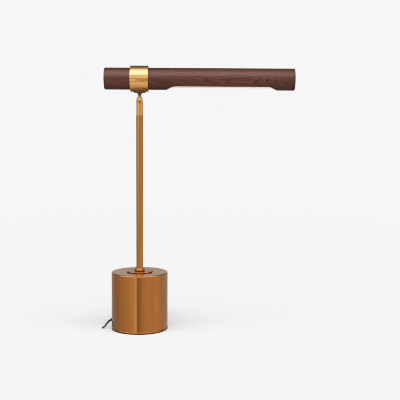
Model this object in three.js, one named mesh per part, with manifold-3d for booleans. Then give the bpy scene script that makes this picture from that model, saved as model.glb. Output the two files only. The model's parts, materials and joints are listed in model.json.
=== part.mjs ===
// Table lamp: a turned wooden light bar in a brass ring, on a slotted knuckle,
// a slim brass stem and a heavy drum base, with a low-voltage lead to a plug-in adapter.
// Millimetres, +Z up. The origin is the middle of the foot, on the table.
// The light bar runs along X, the knuckle's screw too, and the lead leaves on the left.

import * as THREE from 'three';
import { mergeVertices } from 'three/addons/utils/BufferGeometryUtils.js';
import Module from 'manifold-3d';

const wasm = await Module();
wasm.setup();

// Clearances and cutting allowance
const seatGap = 0.1; // clamped faces
const slipGap = 0.3; // pieces that turn, slide or are cut to fit
const overrun = 3; // a cutter reaches this far past the face that it cuts

// Facets round a full turn
const facets = { broad: 48, middle: 32, small: 16, lead: 8, coil: 6 };

// Drum base
const base = { radius: 57, height: 116.8, wall: 1.5, edgeRadius: 1.6 };
const footPad = { inset: 1, thickness: 2, bevel: 0.4 };
const basePlate = { overhang: 0.5, thickness: 2.4, bevel: 0.6 };
const plateScrew = { edgeDistance: 17, shaftRadius: 1.9, headRadius: 4, headHeight: 2, length: 13, count: 3 };
const weight = { height: 42, bevel: 1.5, rimWidth: 9.2, dishDepth: 5, hubRadius: 13, pocketRadius: 15, pocketDepth: 14 };
const leadChannel = { width: 12, floorHeight: 4, length: 25 };

// Threaded tube that clamps the base, and its nuts
const rod = { radius: 4.8, bore: 3.2, intoStem: 15, belowNut: 2, slotWidth: 4.6, slotHeight: 16, slotAbove: 20 };
const rodNut = { acrossCorners: 19, thickness: 5 };
const rodWasher = { radius: 12, thickness: 1.6 };

// Dimmer board, on a moulded tray that stands in the weight's dish
const board = { thickness: 1.6, hubGap: 4, rimGap: 5.5, cornerGap: 1.4 };
const boardTray = { floorThickness: 1.6, postRadius: 2.6, postHeight: 5, postInset: 3.2 };
const boardPlaceShares = { length: 0.25, width: 0.2 }; // of the board, from its middle to a component
const capacitor = { radius: 4, height: 9 };
const inductor = { size: 9, height: 5 };
const terminal = { length: 10, width: 7, height: 8 };
const chip = { length: 6, width: 5, height: 1.6 };

// Touch disc on the drum, with the insulating ring under it
const touchRing = { overhang: 0.3, thickness: 0.6 };
const touchDisc = { radius: 26, thickness: 1.1, bevel: 0.3 };

// Stem and its foot collar
const stem = { radius: 7, wall: 1, length: 313.5 };
const collar = { neckRadius: 8.4, neckHeight: 0.6, beadRadius: 11, beadHalfHeight: 1.7, flareRadius: 7.7, height: 6.4 };
const flareShares = [0.35, 0.7]; // of the collar's flare, from its foot up
const stemBush = { length: 18 };

// Swivel and knuckle
const knuckle = { radius: 6.3, pinAboveSplit: 22.1, grooveBevel: 0.35 };
const swivelPost = { spigotLength: 10, barrelHeight: 9.1, bore: 3.6 };
const spindle = { radius: 3.5, bore: 1.8, length: 27.3 };
const swivelWasher = { radius: 5.4, thickness: 0.8 };
const swivelNut = { acrossCorners: 11.2, thickness: 4.6 };
const slot = { width: 5, floorBelowPin: 6.4 };
const hingeScrew = { radius: 1.5, headRadius: 2.6, headHeight: 1.5, headRecess: 0.7, tipRecess: 0.6 };

// Tongue, neck and saddle: one turned and milled brass piece under the ring
const tongue = { radius: 6, thickness: 4.4 };
const neck = { barRadius: 5.8, waistAbovePin: 6.8, flareHalfWidth: 5.4, shoulderAbovePin: 13.3 };
const saddle = { footRadius: 11, rimRadius: 12.8, rimRise: 1.9, footBevel: 0.4 };
const saddleScrew = { offset: 8, shaftRadius: 1.45, headRadius: 2.8, headHeight: 1.4, intoSaddle: 1.9 };
const leadHole = { offset: 3.9, radius: 1 };

// Light bar
const bar = { axisAbovePin: 41.35, radius: 22, wall: 4, leftLength: 69.9, rightLength: 308.6 };
const ring = { radius: 26.2, halfWidth: 18, bevel: 0.7, clearance: 0.15 };
const grubScrew = { radius: 2, drive: 1, driveDepth: 1.6, recess: 0.4 };
const endCap = { thickness: 4, edgeRadius: 1.8, spigotLength: 8, spigotWall: 4 };
const lightWindow = { offset: 52.8, endMargin: 34.4, depth: 6.5, rampRun: 22, rampSteps: 8 };

// Light engine inside the bar
const heatSink = { flatHeight: 1.6, finSlotWidth: 2, finSlotDepth: 7, finPitch: 3.6, finStart: 8.2, finSlots: 2 };
const ledBoard = { width: 12, thickness: 1.2, endMargin: 5 };
const led = { length: 3.5, width: 2.8, height: 0.8, count: 18, sink: 0.2 };
const diffuser = { thickness: 2, overlap: 3, steps: 16 };

// Low-voltage lead, with its bushing in the wall, its coil and tie, and the adapter at its end
const lead = { diameter: 2.6, step: 3 };
const grommet = { angle: THREE.MathUtils.degToRad(172), height: 15.6, neckRadius: 3.6, flangeRadius: 5.2, flangeThickness: 1.2, noseRadius: 2.1, noseLength: 1.7 };
const coil = { x: -37, y: 99, middleRadius: 15.5, pitch: 3.1, turnsPerLayer: 4, layers: 4, liftOff: 1.1, stepsPerTurn: 24 };
const tie = { width: 7, thickness: 0.8, innerReach: 4.6 };
const adapter = { x: 19, y: 112, width: 40, length: 56, height: 26, cornerRadius: 5, bevel: 1.5 };
const adapterRelief = { length: 12, rootRadius: 3.4, tipRadius: 2, height: 12 };
const blade = { spacing: 12.7, thickness: 1.5, width: 6.3, length: 16, tipBevel: 1.2, offset: 12 };

// Wires inside
const wire = { radius: 1, step: 4, bendRadius: 8, headEnd: 2 };
const wireShiftShares = [1, 0.83, 0.67, 0.5]; // of the wire hole's offset, round the bend under the light board
const inlet = { wallDistance: 10, run: 3 };

// Heights and places that follow from the sizes above
const quarterTurn = Math.PI / 2;
const footPadRadius = base.radius - footPad.inset;
const basePlateRadius = base.radius + basePlate.overhang;
const screwCircleRadius = base.radius - plateScrew.edgeDistance;
const plateBottom = footPad.thickness + seatGap;
const plateTop = plateBottom + basePlate.thickness;
const weightBottom = plateTop + seatGap;
const weightTop = weightBottom + weight.height;
const weightRadius = base.radius - base.wall - slipGap;
const dishRadius = weightRadius - weight.rimWidth;
const dishFloorRadius = dishRadius - weight.bevel;
const boardNear = weight.hubRadius + board.hubGap;
const boardFar = dishFloorRadius - board.rimGap;
const boardWidth = boardFar - boardNear;
const boardLength = 2 * (Math.sqrt(dishFloorRadius ** 2 - boardFar ** 2) - board.cornerGap);
const boardOffset = (boardNear + boardFar) / 2;
const shellBottom = plateTop + seatGap;
const shellCeiling = base.height - base.wall;
const touchRingRadius = touchDisc.radius + touchRing.overhang;
const touchRingBottom = base.height + seatGap;
const touchDiscBottom = touchRingBottom + touchRing.thickness + seatGap;
const stemBottom = touchDiscBottom + touchDisc.thickness + seatGap;
const stemBore = stem.radius - stem.wall;
const rodTop = stemBottom + rod.intoStem;
const lowerWasherBottom = weightBottom + weight.pocketDepth - seatGap - rodWasher.thickness;
const lowerNutBottom = lowerWasherBottom - seatGap - rodNut.thickness;
const rodBottom = lowerNutBottom - rod.belowNut;
const trayBottom = weightTop - weight.dishDepth + seatGap;
const boardBottom = trayBottom + boardTray.floorThickness + boardTray.postHeight + seatGap;
const boardTop = boardBottom + board.thickness;
const rodSlotBottom = weightTop + rod.slotAbove;
const stemTop = stemBottom + stem.length;
const postBottom = stemTop - swivelPost.spigotLength;
const splitHeight = stemTop + seatGap + swivelPost.barrelHeight;
const splitTop = splitHeight + seatGap;
const pinHeight = splitTop + knuckle.pinAboveSplit;
const pinDrop = bar.axisAbovePin;
const barAxisHeight = pinHeight + pinDrop;
const slotFloor = pinHeight - slot.floorBelowPin;
const swivelWasherBottom = postBottom - seatGap - swivelWasher.thickness;
const swivelNutBottom = swivelWasherBottom - seatGap - swivelNut.thickness;
const spindleBottom = splitTop - spindle.length;
const barBore = bar.radius - bar.wall;
const ringBore = bar.radius + ring.clearance;
const capSpigotRadius = barBore - slipGap;
const woodLeft = -bar.leftLength + endCap.thickness + seatGap;
const woodRight = bar.rightLength - endCap.thickness - seatGap;
const windowLeft = lightWindow.offset;
const windowRight = bar.rightLength - lightWindow.endMargin;
const ledBoardLeft = windowLeft + ledBoard.endMargin;
const ledBoardRight = windowRight - ledBoard.endMargin;
const engineRadius = barBore - slipGap;
const ledBoardTop = heatSink.flatHeight - seatGap;
const leadRadius = lead.diameter / 2;
const exitRadius = base.radius + grommet.flangeThickness + grommet.noseLength + slipGap;
const coilOuterRadius = coil.middleRadius + (coil.pitch * coil.turnsPerLayer) / 2;
const coilBottom = coil.liftOff + leadRadius;
const coilTop = coilBottom + coil.pitch * (coil.layers - 1);

// Shape helpers. A shape is a closed BufferGeometry until it becomes a piece.

function arcPoints(centreX, centreY, radius, from, to, steps) {
  const points = [];
  for (let i = 0; i <= steps; i++) {
    const angle = from + ((to - from) * i) / steps;
    points.push([centreX + radius * Math.cos(angle), centreY + radius * Math.sin(angle)]);
  }
  return points;
}

// A solid of revolution about Z from [radius, height] points, outer side going up
function turned(outline, sides) {
  const closed = [...outline, outline[0]].map(([r, z]) => new THREE.Vector2(r, z));
  return new THREE.LatheGeometry(closed, sides).rotateX(quarterTurn);
}

function aboutX(shape) {
  return shape.rotateY(quarterTurn);
}

function cylinder(radius, bottom, top, sides) {
  return turned([[0, bottom], [radius, bottom], [radius, top], [0, top]], sides);
}

function washer(radius, bore, bottom, top, sides) {
  return turned([[bore, bottom], [radius, bottom], [radius, top], [bore, top]], sides);
}

function block(width, depth, height, x, y, z) {
  return new THREE.BoxGeometry(width, depth, height).translate(x, y, z);
}

function outlineShape(points) {
  return new THREE.Shape(points.map(([x, y]) => new THREE.Vector2(x, y)));
}

// A prism of an outline in X and Z, from y = -halfDepth to halfDepth
function prismAlongY(points, halfDepth) {
  const shape = new THREE.ExtrudeGeometry(outlineShape(points), { depth: 2 * halfDepth, bevelEnabled: false });
  shape.translate(0, 0, -halfDepth);
  const toY = new THREE.Matrix4().makeBasis(
    new THREE.Vector3(1, 0, 0), new THREE.Vector3(0, 0, 1), new THREE.Vector3(0, -1, 0));
  return shape.applyMatrix4(toY);
}

// A prism of an outline in Y and Z, from x = left to right
function prismAlongX(points, left, right) {
  const shape = new THREE.ExtrudeGeometry(outlineShape(points), { depth: right - left, bevelEnabled: false });
  const toX = new THREE.Matrix4().makeBasis(
    new THREE.Vector3(0, 1, 0), new THREE.Vector3(0, 0, 1), new THREE.Vector3(1, 0, 0));
  return shape.applyMatrix4(toX).translate(left, 0, 0);
}

function prismAlongZ(points, bottom, top) {
  const shape = new THREE.ExtrudeGeometry(outlineShape(points), { depth: top - bottom, bevelEnabled: false });
  return shape.translate(0, 0, bottom);
}

// A tube along a smooth path through the given points
function tubeThrough(points, radius, sides, step) {
  const path = new THREE.CatmullRomCurve3(points.map((p) => new THREE.Vector3(...p)), false, 'centripetal');
  const section = outlineShape(arcPoints(0, 0, radius, 0, 2 * Math.PI, sides).slice(0, sides));
  const steps = Math.max(1, Math.round(path.getLength() / step));
  return new THREE.ExtrudeGeometry(section, { steps, extrudePath: path, bevelEnabled: false });
}

// Booleans
function toSolid(shape) {
  const bare = new THREE.BufferGeometry();
  bare.setAttribute('position', shape.getAttribute('position'));
  bare.setIndex(shape.index);
  const merged = mergeVertices(bare);
  const corners = merged.index.array;
  const faces = [];
  for (let i = 0; i < corners.length; i += 3) {
    const [a, b, c] = [corners[i], corners[i + 1], corners[i + 2]];
    if (a !== b && b !== c && c !== a) faces.push(a, b, c);
  }
  const vertProperties = Float32Array.from(merged.getAttribute('position').array);
  return new wasm.Manifold(new wasm.Mesh({ numProp: 3, vertProperties, triVerts: Uint32Array.from(faces) }));
}

function toShape(solid) {
  const mesh = solid.getMesh();
  const shape = new THREE.BufferGeometry();
  shape.setAttribute('position', new THREE.BufferAttribute(Float32Array.from(mesh.vertProperties), 3));
  shape.setIndex(new THREE.BufferAttribute(Uint32Array.from(mesh.triVerts), 1));
  return shape;
}

function combine(operation, first, others) {
  return toShape(others.reduce((solid, other) => solid[operation](toSolid(other)), toSolid(first)));
}

const join = (first, ...others) => combine('add', first, others);
const cut = (first, ...others) => combine('subtract', first, others);
const common = (first, ...others) => combine('intersect', first, others);

// Finishes
const finishes = {
  brass: { color: 0xb0763a, roughness: 0.32, metalness: 1 },
  paleBrass: { color: 0xd9a65c, roughness: 0.3, metalness: 1 },
  steel: { color: 0x9a9a98, roughness: 0.4, metalness: 1 },
  castIron: { color: 0x3b3a39, roughness: 0.8, metalness: 1 },
  aluminium: { color: 0xc4c6c8, roughness: 0.45, metalness: 1 },
  wood: { color: 0x5a342c, roughness: 0.55, metalness: 0 },
  blackRubber: { color: 0x151414, roughness: 0.9, metalness: 0 },
  blackPlastic: { color: 0x222224, roughness: 0.6, metalness: 0 },
  greenBoard: { color: 0x1f4a30, roughness: 0.6, metalness: 0 },
  whiteBoard: { color: 0xeceae2, roughness: 0.6, metalness: 0 },
  frosted: { color: 0xfff4e6, roughness: 0.5, metalness: 0 },
  redWire: { color: 0x8c2a22, roughness: 0.6, metalness: 0 },
};

function piece(group, name, finish, shape) {
  const mesh = new THREE.Mesh(shape, new THREE.MeshStandardMaterial(finishes[finish]));
  mesh.name = name;
  group.add(mesh);
  return mesh;
}

// A hexagonal nut with a round bore, standing on its bottom height
function nut(size, bore, bottom) {
  const hexagon = arcPoints(0, 0, size.acrossCorners / 2, 0, 2 * Math.PI, 6).slice(0, 6);
  const top = bottom + size.thickness;
  return cut(prismAlongZ(hexagon, bottom, top), cylinder(bore, bottom - overrun, top + overrun, facets.small));
}

// Drum base

function footPadShape() {
  const { thickness, bevel } = footPad;
  return turned([[0, 0], [footPadRadius - bevel, 0], [footPadRadius, bevel], [footPadRadius, thickness],
    [0, thickness]], facets.broad);
}

function screwPlaces() {
  const places = [];
  for (let i = 0; i < plateScrew.count; i++) {
    const angle = (2 * Math.PI * (i + 0.5)) / plateScrew.count;
    places.push([screwCircleRadius * Math.cos(angle), screwCircleRadius * Math.sin(angle)]);
  }
  return places;
}

// Countersunk shape round a plate screw, grown by a clearance
function plateScrewShape(clearance) {
  const { shaftRadius, headRadius, headHeight, length } = plateScrew;
  const bottom = plateBottom + (clearance ? -overrun : 0);
  const tip = plateBottom + length + clearance;
  return turned([[0, bottom], [headRadius + clearance, bottom], [headRadius + clearance, plateBottom],
    [shaftRadius + clearance, plateBottom + headHeight], [shaftRadius + clearance, tip], [0, tip]], facets.small);
}

function basePlateShape() {
  const { bevel } = basePlate;
  const radius = basePlateRadius;
  const plate = turned([[0, plateBottom], [radius - bevel, plateBottom], [radius, plateBottom + bevel],
    [radius, plateTop - bevel], [radius - bevel, plateTop], [0, plateTop]], facets.broad);
  return cut(plate, ...screwPlaces().map(([x, y]) => plateScrewShape(slipGap).translate(x, y, 0)));
}

function baseShellShape() {
  const { radius, height, wall, edgeRadius } = base;
  const innerRadius = radius - wall;
  const outerEdge = arcPoints(radius - edgeRadius, height - edgeRadius, edgeRadius, 0, quarterTurn, 4);
  const rodHole = rod.radius + slipGap;
  const cup = turned([[innerRadius, shellBottom], [radius, shellBottom], ...outerEdge,
    [rodHole, height], [rodHole, shellCeiling], [innerRadius, shellCeiling]], facets.broad);
  return cut(cup, grommetHole());
}

// A radial cylinder through the wall at the lead's exit
function radialCylinder(radius, from, to) {
  return aboutX(cylinder(radius, from, to, facets.small)).rotateZ(grommet.angle)
    .translate(0, 0, grommet.height);
}

function grommetHole() {
  return radialCylinder(grommet.neckRadius + slipGap, base.radius - base.wall - overrun, base.radius + overrun);
}

// Rubber bushing: a flange on each side of the wall, and a short nose round the lead
function grommetShape() {
  const { neckRadius, flangeRadius, flangeThickness, noseRadius, noseLength } = grommet;
  const bore = leadRadius + slipGap;
  const inside = base.radius - base.wall - slipGap;
  const outside = base.radius + slipGap;
  const profile = [[bore, inside - flangeThickness], [flangeRadius, inside - flangeThickness], [flangeRadius, inside],
    [neckRadius, inside], [neckRadius, outside], [flangeRadius, outside],
    [flangeRadius, outside + flangeThickness - slipGap], [noseRadius, outside + flangeThickness + noseLength - slipGap],
    [bore, outside + flangeThickness + noseLength - slipGap]];
  const bushing = aboutX(turned(profile, facets.small)).rotateZ(grommet.angle).translate(0, 0, grommet.height);
  const innerWall = washer(base.radius + slipGap, base.radius - base.wall - slipGap, 0, base.height, facets.broad);
  const neckOnly = cut(innerWall, radialCylinder(neckRadius, 0, base.radius + overrun));
  return cut(bushing, neckOnly);
}

function leadChannelShape() {
  const { width, floorHeight } = leadChannel;
  const length = leadChannel.length + overrun;
  const middle = weightRadius + overrun - length / 2;
  return block(length, width, weight.height, middle, 0, weightBottom + floorHeight + weight.height / 2)
    .rotateZ(grommet.angle);
}

// Cast weight with a dished top, a pocket for the lower nut and a channel for the lead
function weightShape() {
  const { bevel, dishDepth, hubRadius, pocketRadius, pocketDepth } = weight;
  const bore = rod.radius + slipGap;
  const dishFloor = weightTop - dishDepth;
  const pocketTop = weightBottom + pocketDepth;
  const casting = turned([[pocketRadius, weightBottom], [weightRadius - bevel, weightBottom],
    [weightRadius, weightBottom + bevel], [weightRadius, weightTop - bevel], [weightRadius - bevel, weightTop],
    [dishRadius, weightTop], [dishRadius - bevel, dishFloor], [hubRadius, dishFloor],
    [hubRadius - bevel, weightTop], [bore, weightTop], [bore, pocketTop], [pocketRadius, pocketTop]], facets.broad);
  const screwHoles = screwPlaces().map(([x, y]) => plateScrewShape(slipGap).translate(x, y, 0));
  return cut(casting, leadChannelShape(), ...screwHoles);
}

// Hollow threaded tube from the weight's pocket into the stem, with a side slot for the wire
function rodShape() {
  const tube = washer(rod.radius, rod.bore, rodBottom, rodTop, facets.small);
  const sideSlot = block(rod.slotWidth, rod.radius + overrun, rod.slotHeight,
    0, (rod.radius + overrun) / 2, rodSlotBottom + rod.slotHeight / 2);
  return cut(tube, sideSlot);
}

function rodWasherShape() {
  return washer(rodWasher.radius, rod.radius + slipGap, lowerWasherBottom,
    lowerWasherBottom + rodWasher.thickness, facets.middle);
}

function boardCorners(inset) {
  const halfLength = boardLength / 2 - inset;
  const halfWidth = boardWidth / 2 - inset;
  return [[-1, -1], [1, -1], [1, 1], [-1, 1]].map(([sx, sy]) => [sx * halfLength, boardOffset + sy * halfWidth]);
}

function boardTrayShape() {
  const { floorThickness, postRadius, postInset } = boardTray;
  const floor = block(boardLength, boardWidth, floorThickness, 0, boardOffset, trayBottom + floorThickness / 2);
  const postTop = boardBottom - seatGap;
  const posts = boardCorners(postInset)
    .map(([x, y]) => cylinder(postRadius, trayBottom, postTop, facets.small).translate(x, y, 0));
  return join(floor, ...posts);
}

// Dimmer board with its capacitor, inductor, terminal and chips
function dimmerBoardShape() {
  const sink = board.thickness / 2;
  const foot = boardTop - sink;
  const standing = (height) => foot + (height + sink) / 2;
  const plate = block(boardLength, boardWidth, board.thickness, 0, boardOffset, boardBottom + sink);
  const right = boardLength * boardPlaceShares.length;
  const left = -right;
  const rear = boardOffset + boardWidth * boardPlaceShares.width;
  const front = boardOffset - boardWidth * boardPlaceShares.width;
  const round = cylinder(capacitor.radius, foot, boardTop + capacitor.height, facets.small).translate(left, rear, 0);
  const core = block(inductor.size, inductor.size, inductor.height + sink, right, rear, standing(inductor.height));
  const socket = block(terminal.length, terminal.width, terminal.height + sink, left, front, standing(terminal.height));
  const controller = block(chip.length, chip.width, chip.height + sink, right, front, standing(chip.height));
  return join(plate, round, core, socket, controller);
}

function touchDiscShape() {
  const { radius, thickness, bevel } = touchDisc;
  const bore = rod.radius + slipGap;
  const top = touchDiscBottom + thickness;
  return turned([[bore, touchDiscBottom], [radius, touchDiscBottom], [radius, top - bevel],
    [radius - bevel, top], [bore, top]], facets.broad);
}

// Stem

function collarShape() {
  const { neckRadius, neckHeight, beadRadius, beadHalfHeight, flareRadius, height } = collar;
  const bore = stem.radius + slipGap;
  const beadCentre = stemBottom + neckHeight + beadHalfHeight;
  const bead = arcPoints(beadRadius - beadHalfHeight, beadCentre, beadHalfHeight, -quarterTurn, quarterTurn, 6);
  const flareFoot = beadCentre + beadHalfHeight;
  const flareRise = stemBottom + height - flareFoot;
  const flareRun = beadRadius - beadHalfHeight - flareRadius;
  const flare = flareShares.map((share) => [flareRadius + flareRun * (1 - share) ** 2, flareFoot + flareRise * share]);
  return turned([[bore, stemBottom], [neckRadius, stemBottom], ...bead, ...flare,
    [flareRadius, stemBottom + height], [bore, stemBottom + height]], facets.middle);
}

function stemShape() {
  return washer(stem.radius, stemBore, stemBottom, stemTop, facets.middle);
}

function stemBushShape() {
  return washer(stemBore - seatGap, rod.radius + seatGap, stemBottom, stemBottom + stemBush.length, facets.middle);
}

function swivelPostShape() {
  const { radius, grooveBevel } = knuckle;
  const spigotRadius = stemBore - seatGap;
  const shoulder = stemTop + seatGap;
  return turned([[swivelPost.bore, postBottom], [spigotRadius, postBottom], [spigotRadius, shoulder],
    [radius, shoulder], [radius, splitHeight - grooveBevel], [radius - grooveBevel, splitHeight],
    [swivelPost.bore, splitHeight]], facets.middle);
}

// Knuckle, built about its screw: heights here are above the pin

function forkBlank() {
  const { radius, grooveBevel } = knuckle;
  const foot = splitTop - pinHeight;
  const spindleFoot = spindleBottom - pinHeight;
  const dome = arcPoints(0, 0, radius, 0, quarterTurn, 8);
  return turned([[spindle.bore, spindleFoot], [spindle.radius, spindleFoot], [spindle.radius, foot],
    [radius - grooveBevel, foot], [radius, foot + grooveBevel], ...dome.slice(0, -1), [0, radius],
    [0, -slot.floorBelowPin + overrun], [spindle.bore, -slot.floorBelowPin + overrun]], facets.middle);
}

// A cylinder along X, for the hinge screw's holes and the tongue
function crossCylinder(radius, left, right) {
  return aboutX(cylinder(radius, left, right, facets.small));
}

function forkShape() {
  const { radius } = knuckle;
  const slotHeight = slot.floorBelowPin + radius + overrun;
  const opening = block(slot.width, 2 * (radius + overrun), slotHeight, 0, 0, slotHeight / 2 - slot.floorBelowPin);
  const { headRadius, headHeight, headRecess } = hingeScrew;
  const headSeat = radius - headRecess - headHeight - seatGap;
  return cut(forkBlank(), opening, crossCylinder(hingeScrew.radius + seatGap, -radius - overrun, radius + overrun),
    crossCylinder(headRadius + seatGap, headSeat, radius + overrun));
}

function hingeScrewShape() {
  const { radius, headRadius, headHeight, headRecess, tipRecess } = hingeScrew;
  const headTop = knuckle.radius - headRecess;
  const headFoot = headTop - headHeight;
  const tip = -knuckle.radius + tipRecess;
  return aboutX(turned([[0, tip], [radius, tip], [radius, headFoot], [headRadius, headFoot],
    [headRadius, headTop], [0, headTop]], facets.small));
}

// Light bar, built about its own axis: heights here are above that axis

// The neck is a round bar milled to a thin tongue below, with the saddle as its flange
function neckShape() {
  const { barRadius, waistAbovePin, flareHalfWidth, shoulderAbovePin } = neck;
  const { footRadius, rimRadius, rimRise, footBevel } = saddle;
  const shoulder = shoulderAbovePin - pinDrop;
  const waist = waistAbovePin - pinDrop;
  const rim = shoulder + rimRise;
  const top = rim - ring.radius + Math.sqrt(ring.radius ** 2 - rimRadius ** 2) + overrun + pinDrop + shoulder;
  const flange = turned([[0, shoulder], [footRadius - footBevel, shoulder], [footRadius, shoulder + footBevel],
    [rimRadius, rim], [rimRadius, top], [0, top]], facets.middle);
  const stalk = cylinder(barRadius, -pinDrop, shoulder + footBevel, facets.small);
  const halfTongue = tongue.thickness / 2;
  const flare = prismAlongY([[-halfTongue, -pinDrop], [halfTongue, -pinDrop], [halfTongue, waist],
    [flareHalfWidth, shoulder], [flareHalfWidth, shoulder + overrun], [-flareHalfWidth, shoulder + overrun],
    [-flareHalfWidth, shoulder], [-halfTongue, waist]], barRadius + overrun);
  const tip = crossCylinder(tongue.radius, -halfTongue, halfTongue).translate(0, 0, -pinDrop);
  const body = join(flange, common(stalk, flare), tip);
  const pinHole = crossCylinder(hingeScrew.radius + seatGap, -barRadius, barRadius).translate(0, 0, -pinDrop);
  const wireHole = cylinder(leadHole.radius + wire.radius / 2, -pinDrop - overrun - tongue.radius, 0, facets.small)
    .translate(0, leadHole.offset, 0);
  return cut(body, barCylinder(ring.radius + slipGap / 2), pinHole, wireHole,
    ...saddleScrewPlaces().map((y) => saddleScrewShape(slipGap / 2).translate(0, y, 0)));
}

function barCylinder(radius) {
  return aboutX(cylinder(radius, -bar.leftLength - overrun, bar.rightLength + overrun, facets.broad));
}

function saddleScrewPlaces() {
  return [-saddleScrew.offset, saddleScrew.offset];
}

// Countersunk screw whose head sits in the ring's bore, grown by a clearance
function saddleScrewShape(clearance) {
  const { offset, shaftRadius, headRadius, headHeight, intoSaddle } = saddleScrew;
  const headTop = -Math.sqrt(ringBore ** 2 - (offset - headRadius) ** 2) - slipGap;
  const head = -Math.sqrt(ringBore ** 2 - offset ** 2) - slipGap;
  const outer = -Math.sqrt(ring.radius ** 2 - offset ** 2);
  const tip = outer - intoSaddle - clearance;
  const top = clearance ? 0 : Math.min(headTop, head) + clearance;
  return turned([[0, tip], [shaftRadius + clearance, tip], [shaftRadius + clearance, head - headHeight],
    [headRadius + clearance, Math.min(headTop, head)], [headRadius + clearance, top], [0, top]].filter(
    ([r, z], i, all) => i === 0 || r !== all[i - 1][0] || z !== all[i - 1][1]), facets.small);
}

function ringShape() {
  const { radius, halfWidth, bevel } = ring;
  const blank = aboutX(turned([[ringBore, -halfWidth], [radius - bevel, -halfWidth], [radius, -halfWidth + bevel],
    [radius, halfWidth - bevel], [radius - bevel, halfWidth], [ringBore, halfWidth]], facets.broad));
  const wireHole = cylinder(leadHole.radius + wire.radius / 2, -radius - overrun, 0, facets.small)
    .translate(0, leadHole.offset, 0);
  return cut(blank, wireHole, grubScrewHole(),
    ...saddleScrewPlaces().map((y) => saddleScrewShape(slipGap / 2).translate(0, y, 0)));
}

function rearCylinder(radius, from, to) {
  return cylinder(radius, from, to, facets.small).rotateX(-quarterTurn);
}

function grubScrewHole() {
  return rearCylinder(grubScrew.radius + seatGap, 0, ring.radius + overrun);
}

// Grub screw at the back of the ring, with a hexagonal drive
function grubScrewShape() {
  const outer = ring.radius - grubScrew.recess;
  const inner = bar.radius + seatGap;
  const drive = cylinder(grubScrew.drive, outer - grubScrew.driveDepth, outer + overrun, 6).rotateX(-quarterTurn);
  return cut(rearCylinder(grubScrew.radius, inner, outer), drive);
}

// Side view of the cut under the bar: a flat roof with a cove at each end
function windowOutline() {
  const { depth, rampRun, rampSteps } = lightWindow;
  const [left, right] = [windowLeft, windowRight];
  const roof = -bar.radius + depth;
  const coveRadius = (rampRun ** 2 + depth ** 2) / (2 * depth);
  const sweep = Math.asin(rampRun / coveRadius);
  const leftCove = arcPoints(left + rampRun, roof - coveRadius, coveRadius, quarterTurn + sweep, quarterTurn, rampSteps);
  const rightCove = arcPoints(right - rampRun, roof - coveRadius, coveRadius, quarterTurn, quarterTurn - sweep, rampSteps);
  const below = -bar.radius - overrun;
  const outline = [[left, below], ...leftCove, ...rightCove, [right, below]];
  return outline.reverse();
}

function woodTubeShape() {
  const tube = aboutX(washer(bar.radius, barBore, woodLeft, woodRight, facets.broad));
  const wireHole = cylinder(leadHole.radius + wire.radius / 2, -bar.radius - overrun, 0, facets.small)
    .translate(0, leadHole.offset, 0);
  return cut(tube, prismAlongY(windowOutline(), bar.radius + overrun), wireHole);
}

// Wooden plug with a rounded rim and a hollow spigot, drawn for the right end
function endCapShape() {
  const { thickness, edgeRadius, spigotLength, spigotWall } = endCap;
  const rim = arcPoints(bar.radius - edgeRadius, thickness - edgeRadius, edgeRadius, 0, quarterTurn, 4);
  const hollow = capSpigotRadius - spigotWall;
  return aboutX(turned([[0, 0], [hollow, 0], [hollow, -spigotLength], [capSpigotRadius, -spigotLength],
    [capSpigotRadius, 0], [bar.radius, 0], ...rim, [0, thickness]], facets.broad));
}

// Extruded aluminium carrier: the upper part of a disc, with slots that make fins
function heatSinkShape() {
  const { flatHeight, finSlotWidth, finSlotDepth, finPitch, finStart, finSlots } = heatSink;
  const start = Math.asin(flatHeight / engineRadius);
  const arc = arcPoints(0, 0, engineRadius, start, Math.PI - start, 24);
  const slots = [];
  for (const side of [-1, 1]) {
    for (let i = 0; i < finSlots; i++) {
      const near = side * (finStart + i * finPitch);
      const far = near + side * finSlotWidth;
      slots.push([Math.min(near, far), Math.max(near, far)]);
    }
  }
  slots.sort((a, b) => a[0] - b[0]);
  const roof = flatHeight + finSlotDepth;
  const underside = slots.flatMap(([from, to]) => [[from, flatHeight], [from, roof], [to, roof], [to, flatHeight]]);
  const left = woodLeft + endCap.spigotLength + slipGap;
  const right = woodRight - endCap.spigotLength - slipGap;
  return prismAlongX([...arc, ...underside], left, right);
}

// Light board with its row of light packages
function ledBoardShape() {
  const { width, thickness } = ledBoard;
  const [left, right] = [ledBoardLeft, ledBoardRight];
  const bottom = ledBoardTop - thickness;
  const strip = block(right - left, width, thickness, (left + right) / 2, 0, ledBoardTop - thickness / 2);
  const pitch = (right - left) / led.count;
  const packages = [];
  for (let i = 0; i < led.count; i++) {
    packages.push(block(led.length, led.width, led.height + led.sink,
      left + (i + 0.5) * pitch, 0, bottom + (led.sink - led.height) / 2));
  }
  return join(strip, ...packages);
}

// Frosted trough whose edges rest under the carrier
function diffuserShape() {
  const { thickness, overlap, steps } = diffuser;
  const top = ledBoardTop;
  const inner = engineRadius - thickness;
  const outerRise = Math.asin(top / engineRadius);
  const innerRise = Math.asin(top / inner);
  const outer = arcPoints(0, 0, engineRadius, -Math.PI - outerRise, outerRise, steps);
  const inside = arcPoints(0, 0, inner, innerRise, -Math.PI - innerRise, steps);
  return prismAlongX([...outer, ...inside], windowLeft - overlap, windowRight + overlap);
}

// Wires that the lamp holds inside

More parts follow.
